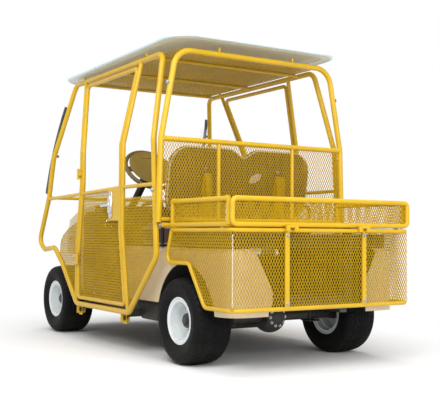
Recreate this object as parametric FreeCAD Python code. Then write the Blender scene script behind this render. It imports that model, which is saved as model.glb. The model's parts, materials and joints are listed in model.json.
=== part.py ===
import FreeCAD, Part
import math
import os
from FreeCAD import Vector

# Driving-range golf cart with a tube-and-mesh cage, seen as a whole vehicle.
# Lengths are millimetres. Stations along X are counted from the rear axle, forward is +X,
# left is +Y, up is +Z, and the ground is Z = 0. One shared placement then moves every
# piece so that the origin lies on the ground at the middle of the overall length.

os.makedirs("parts", exist_ok=True)
doc = FreeCAD.newDocument("golf_cart")
sheet = doc.addObject("Spreadsheet::Sheet", "sizes")

SIZES = [
    # Running gear
    ("wheelbase", 1750),
    ("track_half", 486),
    ("tyre_radius", 228.5),
    ("tyre_width", 216),
    ("tyre_tread_width", 156),
    ("rim_seat_radius", 101.6),
    ("rim_flange_radius", 123),
    ("rim_width", 184),
    ("rim_wall", 4),
    ("rim_disc_offset", 8),
    ("hub_radius", 34),
    ("hub_reach", 62),
    ("spindle_radius", 15),
    ("running_clearance", 0.05),
    ("seat_gap", 0.3),
    ("kingpin_half", 345),
    ("kingpin_radius", 11),
    ("kingpin_boss_radius", 23),
    ("kingpin_boss_height", 76),
    ("steering_arm", 110),
    ("steering_arm_height", 210),
    ("steering_arm_half", 9),
    ("arm_thickness", 12),
    ("yoke_half", 20),
    ("yoke_wall", 14),
    ("tie_rod_radius", 8),
    ("tie_rod_eye_radius", 15),
    ("linkage_clearance", 5.5),
    ("axle_tube_radius", 30),
    ("differential_radius", 92),
    ("differential_width", 120),
    ("motor_radius", 84),
    ("motor_length", 220),
    ("motor_station", 195),
    ("rear_spring_half_span", 290),
    ("front_spring_half_span", 236),
    ("spring_width", 48),
    ("spring_leaf", 18),
    ("spring_half_track", 288),
    ("front_spring_half_track", 222),
    # Chassis
    ("rail_half_track", 200),
    ("rail_width", 40),
    ("rail_height", 60),
    ("rail_bottom", 244),
    ("rail_kick_rear", 56),
    ("rail_kick_front", 41),
    ("rail_kick_rear_station", 340),
    ("rail_kick_front_station", -330),
    ("rail_kick_run", 80),
    ("chassis_rear", -440),
    ("chassis_front", 320),
    ("bumper_depth", 30),
    ("bumper_half_width", 290),
    ("bumper_height", 90),
    ("bumper_bottom", 290),
    # Body
    ("body_half_width", 545),
    ("body_wall", 5),
    ("body_rear", -440),
    ("body_bottom", 275),
    ("pod_top", 612),
    ("pod_front", 660),
    ("arch_radius", 305),
    ("body_corner", 95),
    ("body_edge", 55),
    ("well_half_width", 330),
    ("well_front", -60),
    ("deck_top", 684),
    ("deck_half_width", 520),
    ("deck_front", 100),
    ("deck_rear", -400),
    ("floor_top", 312),
    ("floor_wall", 8),
    ("floor_front", -350),
    ("toe_board_top", 560),
    ("toe_narrow_station", -380),
    ("toe_half_width", 235),
    ("pedal_station", -405),
    ("toe_board_station", -250),
    ("cowl_rear", -488),
    ("cowl_top", 868),
    ("cowl_front", 310),
    ("cowl_nose_height", 600),
    ("cowl_half_width", 505),
    ("cowl_nose_half_width", 330),
    ("front_arch_radius", 318),
    ("front_arch_inner", 240),
    ("front_arch_open_height", 540),
    ("dash_depth", 60),
    ("dash_bottom", 600),
    ("battery_length", 290),
    ("battery_width", 640),
    ("battery_height", 250),
    ("battery_rear", 355),
    # Seat
    ("seat_half_width", 500),
    ("seat_front", 690),
    ("seat_rear", 235),
    ("seat_thickness", 135),
    ("back_bottom", 760),
    ("back_top", 1178),
    ("back_half_width", 490),
    ("back_station", 255),
    ("back_lean", 9),
    ("back_shell_wall", 22),
    ("back_pad", 70),
    ("back_lobe_corner", 120),
    ("back_dip", 58),
    ("back_bracket", 14),
    ("back_bracket_width", 30),
    ("back_bracket_side", 250),
    ("back_bracket_top", 1030),
    ("back_dip_half_width", 70),
    # Steering
    ("steering_wheel_station", -874),
    ("steering_wheel_side", 300),
    ("steering_wheel_height", 1083),
    ("steering_wheel_radius", 160),
    ("steering_rim_radius", 14),
    ("steering_shaft_radius", 9),
    ("column_angle", 42),
    ("column_radius", 24),
    ("column_length", 520),
    # Cage tubes
    ("tube_radius", 16),
    ("door_tube_radius", 12.5),
    ("cage_half_width", 630),
    ("cage_bend_height", 1200),
    ("cage_top", 1690),
    ("cage_top_half_width", 530),
    ("side_bottom", 235),
    ("side_lug_rear", 567),
    ("side_lug_front", -539),
    ("side_lug_half", 3),
    ("side_lug_low", 165),
    ("side_bottom_front", -510),
    ("side_bottom_rear", 480),
    ("post_foot_height", 560),
    ("post_foot_station", 152),
    ("post_bend_station", 197),
    ("post_top_station", 280),
    ("front_arch_foot_station", -250),
    ("front_arch_foot_height", 487),
    ("front_arch_top_station", -110),
    ("front_arch_top_height", 585),
    ("front_arch_level_station", 75),
    ("front_arch_level_height", 568),
    ("nose_station", 185),
    ("nose_height", 622),
    ("screen_post_foot_station", 8),
    ("screen_post_foot_height", 928),
    ("screen_post_top_station", -220),
    ("small_bend", 60),
    ("large_bend", 110),
    ("waist_front", 920),
    ("waist_rear", 950),
    # Doors
    ("door_gap", 6),
    ("door_bottom", 276),
    ("door_top", 1652),
    ("door_front_top", -410),
    ("door_front_mid", -584),
    ("door_front_low", -518),
    ("door_front_low_height", 560),
    ("door_rear_top", 560),
    ("door_rear_mid", 588),
    ("door_rear_low", 508),
    ("door_rear_low_height", 690),
    ("hinge_station", -558),
    ("hinge_barrel_radius", 8),
    ("hinge_pin_radius", 3.5),
    ("hinge_half_length", 32),
    ("hinge_knuckle_half", 11),
    ("hinge_leaf", 6),
    ("hinge_low", 520),
    ("hinge_high", 1060),
    # Rear frame, tray and skirt
    ("rear_frame_station", 132),
    ("rear_frame_top", 1686),
    ("rear_frame_half_width", 620),
    ("rear_frame_top_half_width", 528),
    ("mid_rail", 1194),
    ("mid_rail_radius", 14.5),
    ("rear_bar_half", 255),
    ("mesh_thickness", 2),
    ("tray_half_width", 567),
    ("tray_rear", -494),
    ("tray_front", 90),
    ("tray_bottom", 730),
    ("tray_top", 854),
    ("tray_tube_radius", 12.5),
    ("gate_clearance", 6),
    ("gate_hinge_offset", 26),
    ("gate_hinge_height", 720),
    ("gate_hinge_radius", 7),
    ("gate_knuckle_half", 14),
    ("gate_tab_half", 36),
    ("gate_tab_side", 235),
    ("skirt_top", 702),
    ("skirt_bottom", 315),
    ("skirt_step", 530),
    ("skirt_front_top", 99),
    ("skirt_front_low", 160),
    ("skirt_step_rear", -85),
    ("skirt_foot", -245),
    # Canopy and windshield
    ("canopy_rear", 50),
    ("canopy_front", -50),
    ("canopy_half_width", 576),
    ("canopy_bottom", 1724),
    ("canopy_edge", 20),
    ("canopy_crown", 26),
    ("canopy_corner", 150),
    ("ceiling_height", 1699),
    ("ceiling_half_width", 492),
    ("roof_tube_radius", 9),
    ("roof_rail_rear", 420),
    ("roof_rail_front", -310),
    ("standoff_rear", 480),
    ("standoff_front", -370),
    ("screen_thickness", 5),
    ("screen_low", 945),
    ("screen_high", 1470),
]
for row, (name, value) in enumerate(SIZES, start=1):
    sheet.set("A%d" % row, name)
    sheet.set("B%d" % row, str(value))
    sheet.setAlias("B%d" % row, name)
doc.recompute()


def size(name):
    """A driving dimension, read from the sheet."""
    return float(sheet.get(name))


def ahead(name):
    """A station that the sheet counts from the front axle, as what stands at that end is."""
    return size("wheelbase") + size(name)


front_station = ahead("chassis_front") + size("bumper_depth")
rear_station = size("tray_rear") - size("gate_hinge_offset") - size("gate_hinge_radius")
shift = FreeCAD.Placement(Vector(-(front_station + rear_station) / 2, 0, 0), FreeCAD.Rotation())
nodes = []


def keep(label, shape):
    """Store one piece under its own name."""
    piece = doc.addObject("Part::Feature", label)
    piece.Label = label
    piece.Shape = shape
    piece.Placement = shift.multiply(piece.Placement)
    nodes.append(piece)
    return shape


# Shape helpers

def fuse(shapes):
    return shapes[0].multiFuse(shapes[1:]).removeSplitter() if len(shapes) > 1 else shapes[0]


def group(shapes):
    """Separate solids of one node that don't touch each other."""
    return Part.Compound(shapes)


def mirrored(shape):
    return shape.mirror(Vector(0, 0, 0), Vector(0, 1, 0))


def bent_path(points, bend, closed=False):
    """Straight runs joined by tangent arcs."""
    count = len(points)
    runs = []
    for index in range(count):
        if not closed and index in (0, count - 1):
            runs.append((points[index], points[index], None))
            continue
        corner = points[index]
        back = (points[index - 1] - corner)
        ahead = (points[(index + 1) % count] - corner)
        shortest = min(back.Length, ahead.Length)
        back.normalize()
        ahead.normalize()
        half = back.getAngle(ahead) / 2
        if half > math.radians(89.5):
            runs.append((corner, corner, None))
            continue
        reach = min(bend / math.tan(half), 0.49 * shortest)
        radius = reach * math.tan(half)
        middle = back + ahead
        middle.normalize()
        centre = corner + middle * (radius / math.sin(half))
        runs.append((corner + back * reach, corner + ahead * reach, centre - middle * radius))
    edges = []
    for index in range(count):
        start, end, middle = runs[index]
        if middle is not None:
            edges.append(Part.Arc(start, middle, end).toShape())
        if index + 1 < count or closed:
            following = runs[(index + 1) % count][0]
            if end.distanceToPoint(following) > 0.01:
                edges.append(Part.LineSegment(end, following).toShape())
    return Part.Wire(edges)


def tube(points, radius, bend=60, closed=False):
    """A round tube: a cylinder along each straight run and a turned section round each bend."""
    lengths = []
    for edge in bent_path(points, bend, closed).OrderedEdges:
        start = edge.valueAt(edge.FirstParameter)
        along = edge.tangentAt(edge.FirstParameter)
        end = edge.valueAt(edge.LastParameter)
        if edge.Orientation == "Reversed":
            start, end = end, start
            along = edge.tangentAt(edge.LastParameter) * -1
        if isinstance(edge.Curve, Part.Line):
            lengths.append(Part.makeCylinder(radius, start.distanceToPoint(end), start, along))
            continue
        centre = edge.Curve.Center
        axis = (start - centre).cross(along)
        section = Part.Face(Part.Wire([Part.Circle(start, along, radius).toShape()]))
        turn = math.degrees(edge.Length / edge.Curve.Radius)
        lengths.append(section.revolve(centre, axis, turn))
    return fuse(lengths)


def rod(start, end, radius):
    along = end - start
    return Part.makeCylinder(radius, along.Length, start, along)


def box(x0, x1, y0, y1, z0, z1):
    return Part.makeBox(x1 - x0, y1 - y0, z1 - z0, Vector(x0, y0, z0))


def plate(points, normal, thickness):
    """A flat sheet bounded by straight runs, with its middle plane through the points."""
    start = [p - normal * (thickness / 2) for p in points]
    wire = Part.makePolygon(start + [start[0]])
    return Part.Face(wire).extrude(normal * thickness)


def side_profile(points, half_width):
    """A profile drawn in the side view and pulled across the whole width."""
    start = [Vector(x, -half_width, z) for x, z in points]
    return Part.Face(Part.makePolygon(start + [start[0]])).extrude(Vector(0, 2 * half_width, 0))


def revolve_about_y(points, centre):
    """A ring or disc whose outline is given as (distance along Y, radius)."""
    outline = [centre + Vector(radius, along, 0) for along, radius in points]
    face = Part.Face(Part.makePolygon(outline + [outline[0]]))
    return face.revolve(centre, Vector(0, 1, 0), 360)


# Running gear

def tyre(centre, side):
    half = size("tyre_width") / 2
    tread = size("tyre_tread_width") / 2
    bead = size("rim_width") / 2 - size("rim_wall") - 2
    bore = size("rim_seat_radius") + size("seat_gap")
    flange = size("rim_flange_radius")
    outer = size("tyre_radius")
    outline = [
        (-bead, bore), (-bead, flange + 4), (-half + 6, flange + 18), (-half, (flange + outer) / 2),
        (-half + 8, outer - 24), (-tread, outer - 5), (-tread / 2, outer), (tread / 2, outer),
        (tread, outer - 5), (half - 8, outer - 24), (half, (flange + outer) / 2),
        (half - 6, flange + 18), (bead, flange + 4), (bead, bore),
    ]
    return revolve_about_y(outline, centre)


def rim(centre, side):
    """A deep-dish steel wheel, its hub bored for the spindle."""
    half = size("rim_width") / 2
    wall = size("rim_wall")
    seat = size("rim_seat_radius")
    flange = size("rim_flange_radius")
    disc = size("rim_disc_offset")
    reach = size("hub_reach")
    hub = size("hub_radius")
    bore = size("spindle_radius") + size("running_clearance")
    outline = [
        (-half, flange), (-half, seat - wall), (disc - wall, seat - wall), (disc - wall, hub + 20),
        (disc - wall - 14, hub), (-reach, hub), (-reach, bore), (reach, bore), (reach, hub),
        (disc + 14, hub), (disc, hub + 20), (disc, seat - wall), (half, seat - wall), (half, flange),
        (half - wall, flange), (half - wall, seat), (-half + wall, seat), (-half + wall, flange),
    ]
    outline = [(side * along, radius) for along, radius in outline]
    return revolve_about_y(outline, centre)


axle_height = size("tyre_radius")
for end, station in (("rear", 0.0), ("front", size("wheelbase"))):
    for name, side in (("left", 1), ("right", -1)):
        wheel_centre = Vector(station, side * size("track_half"), axle_height)
        keep("tyre_%s_%s" % (end, name), tyre(wheel_centre, side))
        keep("rim_%s_%s" % (end, name), rim(wheel_centre, side))


axle_beam_half = 25.0
spring_seats = ((0.0, size("spring_half_track"), size("axle_tube_radius"), size("rear_spring_half_span")),
                (size("wheelbase"), size("front_spring_half_track"), axle_beam_half,
                 size("front_spring_half_span")))


def spring_low(axle_half):
    return axle_height + axle_half + size("seat_gap")


def leaf_spring(station, y, axle_half, span):
    """A leaf spring clamped on top of its axle."""
    low = spring_low(axle_half)
    half = size("spring_width") / 2
    return box(station - span, station + span, y - half, y + half, low, low + size("spring_leaf"))


def spring_hangers(station, y, axle_half, span):
    """Chassis brackets that stand on both ends of a spring."""
    low = spring_low(axle_half) + size("spring_leaf") + size("seat_gap")
    high = low + size("spring_leaf") + 22
    half = size("spring_width") / 2
    inner = size("rail_half_track")
    outer = y + half
    parts = []
    for x in (station - span, station + span - 40):
        for low_y, high_y in ((inner, outer), (-outer, -inner)):
            parts.append(box(x, x + 40, low_y, high_y, low, high))
    return parts


def rear_axle():
    reach = size("track_half") + size("hub_reach") - 2
    shaft = rod(Vector(0, -reach, axle_height), Vector(0, reach, axle_height), size("spindle_radius"))
    inner = size("track_half") - size("hub_reach") - size("linkage_clearance")
    housing = rod(Vector(0, -inner, axle_height), Vector(0, inner, axle_height),
                  size("axle_tube_radius"))
    half = size("differential_width") / 2
    bulge = Part.makeSphere(size("differential_radius"), Vector(0, 0, axle_height))
    bulge = bulge.common(box(-200, 200, -half, half, 0, 2 * axle_height))
    motor = rod(Vector(size("motor_station"), -half, axle_height),
                Vector(size("motor_station"), size("motor_length") - half, axle_height), size("motor_radius"))
    case = box(0, size("motor_station"), -half, half, axle_height - 50, axle_height + 50)
    return fuse([shaft, housing, bulge, motor, case])


def front_axle():
    station = size("wheelbase")
    kingpin = size("kingpin_half")
    half = size("kingpin_boss_height") / 2
    inner = kingpin - size("kingpin_boss_radius") - size("linkage_clearance")
    beam = box(station - axle_beam_half, station + axle_beam_half, -inner, inner,
               axle_height - axle_beam_half, axle_height + axle_beam_half)
    parts = [beam]
    bore_radius = size("kingpin_radius") + size("running_clearance")
    wall = size("yoke_wall")
    yoke_half = size("yoke_half")
    for side in (1, -1):
        web = box(station - yoke_half, station + yoke_half, min(side * (inner - wall), side * inner),
                  max(side * (inner - wall), side * inner), axle_height - half - wall, axle_height + half + wall)
        parts.append(web)
        for low in (axle_height - half - wall, axle_height + half + size("seat_gap")):
            high = low + wall - size("seat_gap")
            arm = box(station - yoke_half, station + yoke_half, min(side * (inner - wall), side * (kingpin + 18)),
                      max(side * (inner - wall), side * (kingpin + 18)), low, high)
            parts.append(arm)
    yoke = fuse(parts)
    for side in (1, -1):
        yoke = yoke.cut(rod(Vector(station, side * kingpin, 0),
                            Vector(station, side * kingpin, 2 * axle_height), bore_radius))
    return yoke


def knuckle(side):
    """The steered stub axle: kingpin, boss, spindle and steering arm in one forging."""
    station = size("wheelbase")
    kingpin = side * size("kingpin_half")
    half = size("kingpin_boss_height") / 2
    pin = rod(Vector(station, kingpin, axle_height - half - 16), Vector(station, kingpin, axle_height + half + 16),
              size("kingpin_radius"))
    boss = rod(Vector(station, kingpin, axle_height - half), Vector(station, kingpin, axle_height + half),
               size("kingpin_boss_radius"))
    reach = side * (size("track_half") + size("hub_reach") - 2)
    spindle = rod(Vector(station, kingpin, axle_height), Vector(station, reach, axle_height),
                  size("spindle_radius"))
    arm_top = size("steering_arm_height")
    arm_half = size("steering_arm_half")
    arm = box(station - size("steering_arm"), station, kingpin - arm_half, kingpin + arm_half,
              arm_top - size("arm_thickness"), arm_top)
    eye = Part.makeCylinder(size("tie_rod_eye_radius"), size("arm_thickness"),
                            Vector(station - size("steering_arm"), kingpin, arm_top - size("arm_thickness")))
    return fuse([boss, pin, spindle, arm, eye])


def tie_rod():
    station = size("wheelbase") - size("steering_arm")
    top = size("steering_arm_height") - size("arm_thickness") - size("seat_gap")
    radius = size("tie_rod_radius")
    reach = size("kingpin_half")
    bar = rod(Vector(station, -reach, top - radius), Vector(station, reach, top - radius), radius)
    eyes = [Part.makeCylinder(size("tie_rod_eye_radius"), 2 * radius,
                              Vector(station, side * reach, top - 2 * radius)) for side in (1, -1)]
    return fuse([bar] + eyes)


keep("rear_axle", rear_axle())
keep("front_axle", front_axle())
keep("leaf_springs", group([leaf_spring(station, side * y, axle_half, span)
                            for station, y, axle_half, span in spring_seats for side in (1, -1)]))
keep("knuckle_left", knuckle(1))
keep("knuckle_right", knuckle(-1))
keep("tie_rod", tie_rod())


def chassis():
    low = size("rail_bottom")
    high = low + size("rail_height")
    half = size("rail_width") / 2
    track = size("rail_half_track")
    rear = size("chassis_rear")
    front = ahead("chassis_front")
    run = size("rail_kick_run")
    kick_rear = size("rail_kick_rear")
    kick_front = size("rail_kick_front")
    step_rear = size("rail_kick_rear_station")
    step_front = ahead("rail_kick_front_station")
    outline = [(rear, low + kick_rear), (step_rear - run, low + kick_rear), (step_rear, low), (step_front, low),
               (step_front + run, low + kick_front), (front, low + kick_front), (front, high + kick_front),
               (step_front + run, high + kick_front), (step_front, high), (step_rear, high),
               (step_rear - run, high + kick_rear), (rear, high + kick_rear)]
    rails = side_profile(outline, half)
    parts = [rails.translated(Vector(0, side * track, 0)) for side in (1, -1)]
    for station, lift in ((rear + 30, kick_rear), (rear + 250, kick_rear), (step_rear + 30, 0), (size("pod_front") - 40, 0),
                          (ahead("cowl_rear") - 82, 0), (front - 60, kick_front)):
        parts.append(box(station - 20, station + 20, -track, track, low + lift, high + lift))
    outrigger = size("cage_half_width") - size("tube_radius") - size("side_lug_half") - size("seat_gap")
    for station in (size("side_lug_rear"), ahead("side_lug_front")):
        parts.append(box(station - 20, station + 20, -outrigger, outrigger, low - 40, low + 2))
    for seat in spring_seats:
        parts.extend(spring_hangers(*seat))
    post = size("tray_bottom") - size("tray_tube_radius") - size("seat_gap")
    for side in (1, -1):
        parts.append(box(rear, rear + 30, side * track - 15, side * track + 15, high, post))
    bumper = box(front, front + size("bumper_depth"), -size("bumper_half_width"), size("bumper_half_width"),
                 size("bumper_bottom"), size("bumper_bottom") + size("bumper_height"))
    parts.append(bumper)
    return fuse(parts)


keep("chassis_frame", chassis())


# Body

def rounded_block(x0, x1, half, z0, z1, corner, edge):
    """A moulded block: rounded upright corners and a rounded top edge."""
    block = box(x0, x1, -half, half, z0, z1)
    upright = [e for e in block.Edges if abs(e.Vertexes[0].Z - e.Vertexes[1].Z) > 1 and e.Vertexes[0].X < x0 + 1]
    block = block.makeFillet(corner, upright)
    top = [e for e in block.Edges if all(v.Z > z1 - 0.5 for v in e.Vertexes)]
    return block.makeFillet(edge, top)


pod_seat = size("pod_top") + size("seat_gap")
pod_sill = size("rail_bottom") + size("rail_height") + size("seat_gap")


def rear_body():
    wall = size("body_wall")
    outer = rounded_block(size("body_rear"), size("pod_front"), size("body_half_width"),
                          size("body_bottom"), size("pod_top"), size("body_corner"), size("body_edge"))
    inner = rounded_block(size("body_rear") + wall, size("pod_front") - wall, size("body_half_width") - wall,
                          size("body_bottom") - wall, size("pod_top") - wall,
                          size("body_corner") - wall, size("body_edge") - wall)
    shell = outer.cut(inner)
    half = size("body_half_width") + 10
    arch = rod(Vector(0, -half, axle_height), Vector(0, half, axle_height), size("arch_radius"))
    shell = shell.cut(arch)
    shell = shell.cut(box(0, size("pod_front") + 1, -half, half, 0, pod_sill))
    well = box(size("body_rear") - 1, size("well_front"), -size("well_half_width"), size("well_half_width"),
               0, size("pod_top") + 1)
    return shell.cut(well)


def bag_deck():
    deck = rounded_block(size("deck_rear"), size("deck_front"), size("deck_half_width"),
                         pod_seat, size("deck_top"), 60, 14)
    return deck


def floor_pan():
    top = size("floor_top")
    wall = size("floor_wall")
    half = size("body_half_width")
    station = ahead("toe_board_station")
    profile = [(size("pod_front") + 2, top), (ahead("floor_front"), top), (station, size("toe_board_top")),
               (station, size("toe_board_top") - 14), (ahead("floor_front") + 4, top - wall),
               (size("pod_front") + 2, top - wall)]
    pan = side_profile(profile, half)
    for side in (1, -1):
        inner = side * size("toe_half_width")
        outer = side * (half + 10)
        pan = pan.cut(box(ahead("toe_narrow_station"), station + 10, min(inner, outer), max(inner, outer),
                          0, size("toe_board_top") + 10))
    return pan


cowl_bottom = size("rail_bottom") + size("rail_height") + size("rail_kick_front") + size("seat_gap")


def cowl_solid(inset):
    top = size("cowl_top") - inset
    rear = ahead("cowl_rear") - (1 if inset else 0)
    front = ahead("cowl_front") - inset
    nose = size("cowl_nose_height") - inset
    half = size("cowl_half_width") - inset
    nose_half = size("cowl_nose_half_width") - inset
    low = cowl_bottom - (1 if inset else 0)
    profile = [(rear, low), (rear, top), (rear + 240, top - 26), (rear + 420, top - 92), (rear + 590, top - 158),
               (front - 60, nose + 30), (front, nose - 40), (front, low)]
    block = side_profile(profile, half)
    plan = [Vector(rear - 5, -half, 0), Vector(rear + 420, -half, 0), Vector(front - 120, -nose_half - 90, 0),
            Vector(front, -nose_half, 0), Vector(front, nose_half, 0), Vector(front - 120, nose_half + 90, 0),
            Vector(rear + 420, half, 0), Vector(rear - 5, half, 0)]
    return block.common(Part.Face(Part.makePolygon(plan + [plan[0]])).extrude(Vector(0, 0, 1200)))


def front_cowl():
    shell = cowl_solid(0).cut(cowl_solid(size("body_wall")))
    station = size("wheelbase")
    for side in (1, -1):
        inner = side * size("front_arch_inner")
        outer = side * (size("cowl_half_width") + 10)
        arch = rod(Vector(station, inner, axle_height), Vector(station, outer, axle_height),
                   size("front_arch_radius"))
        shell = shell.cut(arch)
        shell = shell.cut(box(station - size("front_arch_radius") + 20, ahead("cowl_front") + 10,
                              min(inner, outer), max(inner, outer), 0, size("front_arch_open_height")))
    return shell


def dashboard():
    half = size("cowl_half_width") - size("body_wall") - size("seat_gap")
    rear = ahead("cowl_rear") - size("dash_depth")
    top = size("cowl_top") - 4
    face = ahead("cowl_rear") - size("seat_gap")
    panel = side_profile([(rear + 40, size("dash_bottom")), (rear, top - 60), (rear + 10, top), (face, top),
                          (face, size("dash_bottom"))], half)
    side = size("steering_wheel_side")
    angle = math.radians(size("column_angle"))
    along = Vector(math.cos(angle), 0, -math.sin(angle))
    start = wheel_hub + along * 34
    column = rod(start, start + along * size("column_length"), size("column_radius"))
    bore = rod(start - along, start + along * 42, size("steering_shaft_radius") + size("running_clearance"))
    return fuse([panel, column]).cut(bore)


column_tilt = math.radians(size("column_angle"))
wheel_axis = Vector(-math.cos(column_tilt), 0, math.sin(column_tilt))
wheel_hub = Vector(ahead("steering_wheel_station"), size("steering_wheel_side"), size("steering_wheel_height"))


def steering_wheel():
    radius = size("steering_wheel_radius")
    ring = Part.makeTorus(radius, size("steering_rim_radius"), wheel_hub, wheel_axis)
    hub = rod(wheel_hub - wheel_axis * 28, wheel_hub + wheel_axis * 14, 46)
    across = Vector(0, 1, 0)
    spokes = [rod(wheel_hub - across * radius, wheel_hub + across * radius, 9)]
    down = across.cross(wheel_axis)
    spokes.append(rod(wheel_hub, wheel_hub + down * radius, 9))
    spokes.append(rod(wheel_hub, wheel_hub - wheel_axis * 74, size("steering_shaft_radius")))
    return fuse([ring, hub] + spokes)


keep("rear_body", rear_body())
keep("bag_deck", bag_deck())
keep("floor_pan", floor_pan())
keep("front_cowl", front_cowl())
keep("dashboard", dashboard())
keep("steering_wheel", steering_wheel())
battery_base = size("rail_bottom") + size("rail_height")
keep("battery_pack", box(size("battery_rear"), size("battery_rear") + size("battery_length"),
                         -size("battery_width") / 2, size("battery_width") / 2,
                         battery_base, battery_base + size("battery_height")))


def pedals():
    parts = []
    station = ahead("pedal_station")
    for offset in (size("steering_wheel_side") - 110, size("steering_wheel_side") + 60):
        pad = box(station - 15, station, offset - 40, offset + 40, size("floor_top") + 55, size("floor_top") + 165)
        stem = rod(Vector(station - 5, offset, size("floor_top")), Vector(station - 5, offset, size("floor_top") + 100), 8)
        parts.append(fuse([pad, stem]))
    return group(parts)


keep("pedals", pedals())


# Seat

def seat_cushion():
    half = size("seat_half_width")
    low = pod_seat
    cushion = box(size("seat_rear"), size("seat_front"), -half, half, low, low + size("seat_thickness"))
    return cushion.makeFillet(30, [e for e in cushion.Edges if all(v.Z > low + 1 for v in e.Vertexes)])


def back_outline(inset):
    """The back's outline in the YZ plane: two lobes with a dip between."""
    half = size("back_half_width") - inset
    top = size("back_top") - inset
    low = size("back_bottom") + inset
    dip = size("back_dip")
    dip_half = size("back_dip_half_width") + inset
    corner = size("back_lobe_corner")
    points = [Vector(0, -half, low), Vector(0, -half, top), Vector(0, -dip_half, top),
              Vector(0, 0, top - dip - inset), Vector(0, dip_half, top), Vector(0, half, top),
              Vector(0, half, low)]
    return bent_path(points, corner, closed=True)


def back_slab(depth, inset, offset):
    slab = Part.Face(back_outline(inset)).extrude(Vector(depth, 0, 0))
    slab.translate(Vector(size("back_station") + offset, 0, 0))
    pivot = Vector(size("back_station"), 0, size("back_top"))
    slab.rotate(pivot, Vector(0, 1, 0), -size("back_lean"))
    return slab


keep("seat_cushion", seat_cushion())
keep("seat_back_shell", back_slab(size("back_shell_wall"), 0, 0))
keep("seat_back", back_slab(size("back_pad"), 12, size("back_shell_wall") + size("seat_gap")))


def seat_brackets():
    """Two cranked bars that stand on the pod behind the cushion and carry the back."""
    lean = math.tan(math.radians(size("back_lean")))
    thick = size("back_bracket")
    foot = size("seat_rear") - size("seat_gap")

    def back_face(height):
        return size("back_station") + (size("back_top") - height) * lean - 2 * size("seat_gap")

    low = size("back_bottom") + 12
    high = size("back_bracket_top")
    profile = [(back_face(high), high), (back_face(low), low), (foot, low - 16), (foot, pod_seat),
               (foot - thick, pod_seat), (foot - thick, low - 8), (back_face(high) - thick, high)]
    bar = side_profile(profile, size("back_bracket_width") / 2)
    return group([bar.translated(Vector(0, side * size("back_bracket_side"), 0)) for side in (1, -1)])


keep("seat_brackets", seat_brackets())


def hip_restraints():
    parts = []
    for side in (1, -1):
        y = side * (size("seat_half_width") + 16)
        foot = size("pod_top") - 2
        points = [Vector(300, y, foot), Vector(300, y, 866), Vector(560, y, 850), Vector(560, y, foot)]
        parts.append(tube(points, 10, 50))
    return group(parts)


keep("hip_restraints", hip_restraints())


# Cage

def side_width(height):
    """Half width of the cage at a height: upright below the bend, leaning in above it."""
    low = size("cage_half_width")
    bend = size("cage_bend_height")
    if height <= bend:
        return low
    share = (height - bend) / (size("cage_top") - bend)
    return low + (size("cage_top_half_width") - low) * share


def on_side(station, height):
    return Vector(station, side_width(height), height)


def side_loop():
    return [
        on_side(size("side_bottom_rear"), size("side_bottom")),
        on_side(ahead("side_bottom_front"), size("side_bottom")),
        on_side(ahead("front_arch_foot_station"), size("front_arch_foot_height")),
        on_side(ahead("front_arch_top_station"), size("front_arch_top_height")),
        on_side(ahead("front_arch_level_station"), size("front_arch_level_height")),
        on_side(ahead("nose_station"), size("nose_height")),
        on_side(ahead("screen_post_foot_station"), size("screen_post_foot_height")),
        on_side(screen_post_station(size("cage_bend_height")), size("cage_bend_height")),
        on_side(ahead("screen_post_top_station"), size("cage_top")),
        on_side(size("post_top_station"), size("cage_top")),
        on_side(size("post_bend_station"), size("cage_bend_height")),
        on_side(size("post_foot_station"), size("post_foot_height")),
    ]


def screen_post_station(height):
    foot = size("screen_post_foot_height")
    share = (height - foot) / (size("cage_top") - foot)
    return ahead("screen_post_foot_station") + share * (
        ahead("screen_post_top_station") - ahead("screen_post_foot_station"))


def rear_post_station(height):
    foot = size("post_foot_height")
    bend = size("cage_bend_height")
    if height < bend:
        share = (height - foot) / (bend - foot)
        return size("post_foot_station") + share * (size("post_bend_station") - size("post_foot_station"))
    share = (height - bend) / (size("cage_top") - bend)
    return size("post_bend_station") + share * (size("post_top_station") - size("post_bend_station"))


door_radius = size("door_tube_radius")
jamb_shift = door_radius + size("door_gap") / 2


def along_line(points, height):
    """Station on a broken line of (station, height) points, at one height."""
    for (x0, z0), (x1, z1) in zip(points, points[1:]):
        if height <= z1:
            break
    return x0 + (x1 - x0) * (height - z0) / (z1 - z0)


# Middle of the gap between each jamb and the door's stile, from the sill to the roof
front_line = [(ahead("door_front_low"), size("side_bottom")),
              (ahead("door_front_low"), size("door_front_low_height")),
              (ahead("door_front_mid"), 1000),
              (ahead("door_front_mid"), size("cage_bend_height")),
              (ahead("door_front_top"), size("cage_top"))]
rear_line = [(size("door_rear_low"), size("side_bottom")),
             (size("door_rear_mid"), size("door_rear_low_height")),
             (size("door_rear_mid"), size("cage_bend_height")),
             (size("door_rear_top"), size("cage_top"))]


def jamb_points(line, offset, low, high):
    inner = [z for x, z in line if low < z < high]
    return [on_side(along_line(line, z) + offset, z) for z in [low] + inner + [high]]


def side_tubes(extra):
    """The outer loop and both door jambs, thickened by a clearance where panels are cut to them."""
    low = size("side_bottom")
    high = size("cage_top")
    return [tube(side_loop(), size("tube_radius") + extra, size("small_bend"), closed=True),
            tube(jamb_points(front_line, jamb_shift, low, high), door_radius + extra, 80),
            tube(jamb_points(rear_line, -jamb_shift, low, high), door_radius + extra, 80),
            rod(on_side(screen_post_station(size("waist_front")), size("waist_front")),
                on_side(ahead("door_front_mid") + jamb_shift, size("waist_front") + 14), 11 + extra),
            rod(on_side(size("door_rear_mid") - jamb_shift, size("waist_rear")),
                on_side(rear_post_station(size("waist_rear")), size("waist_rear")), 11 + extra)]


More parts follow.
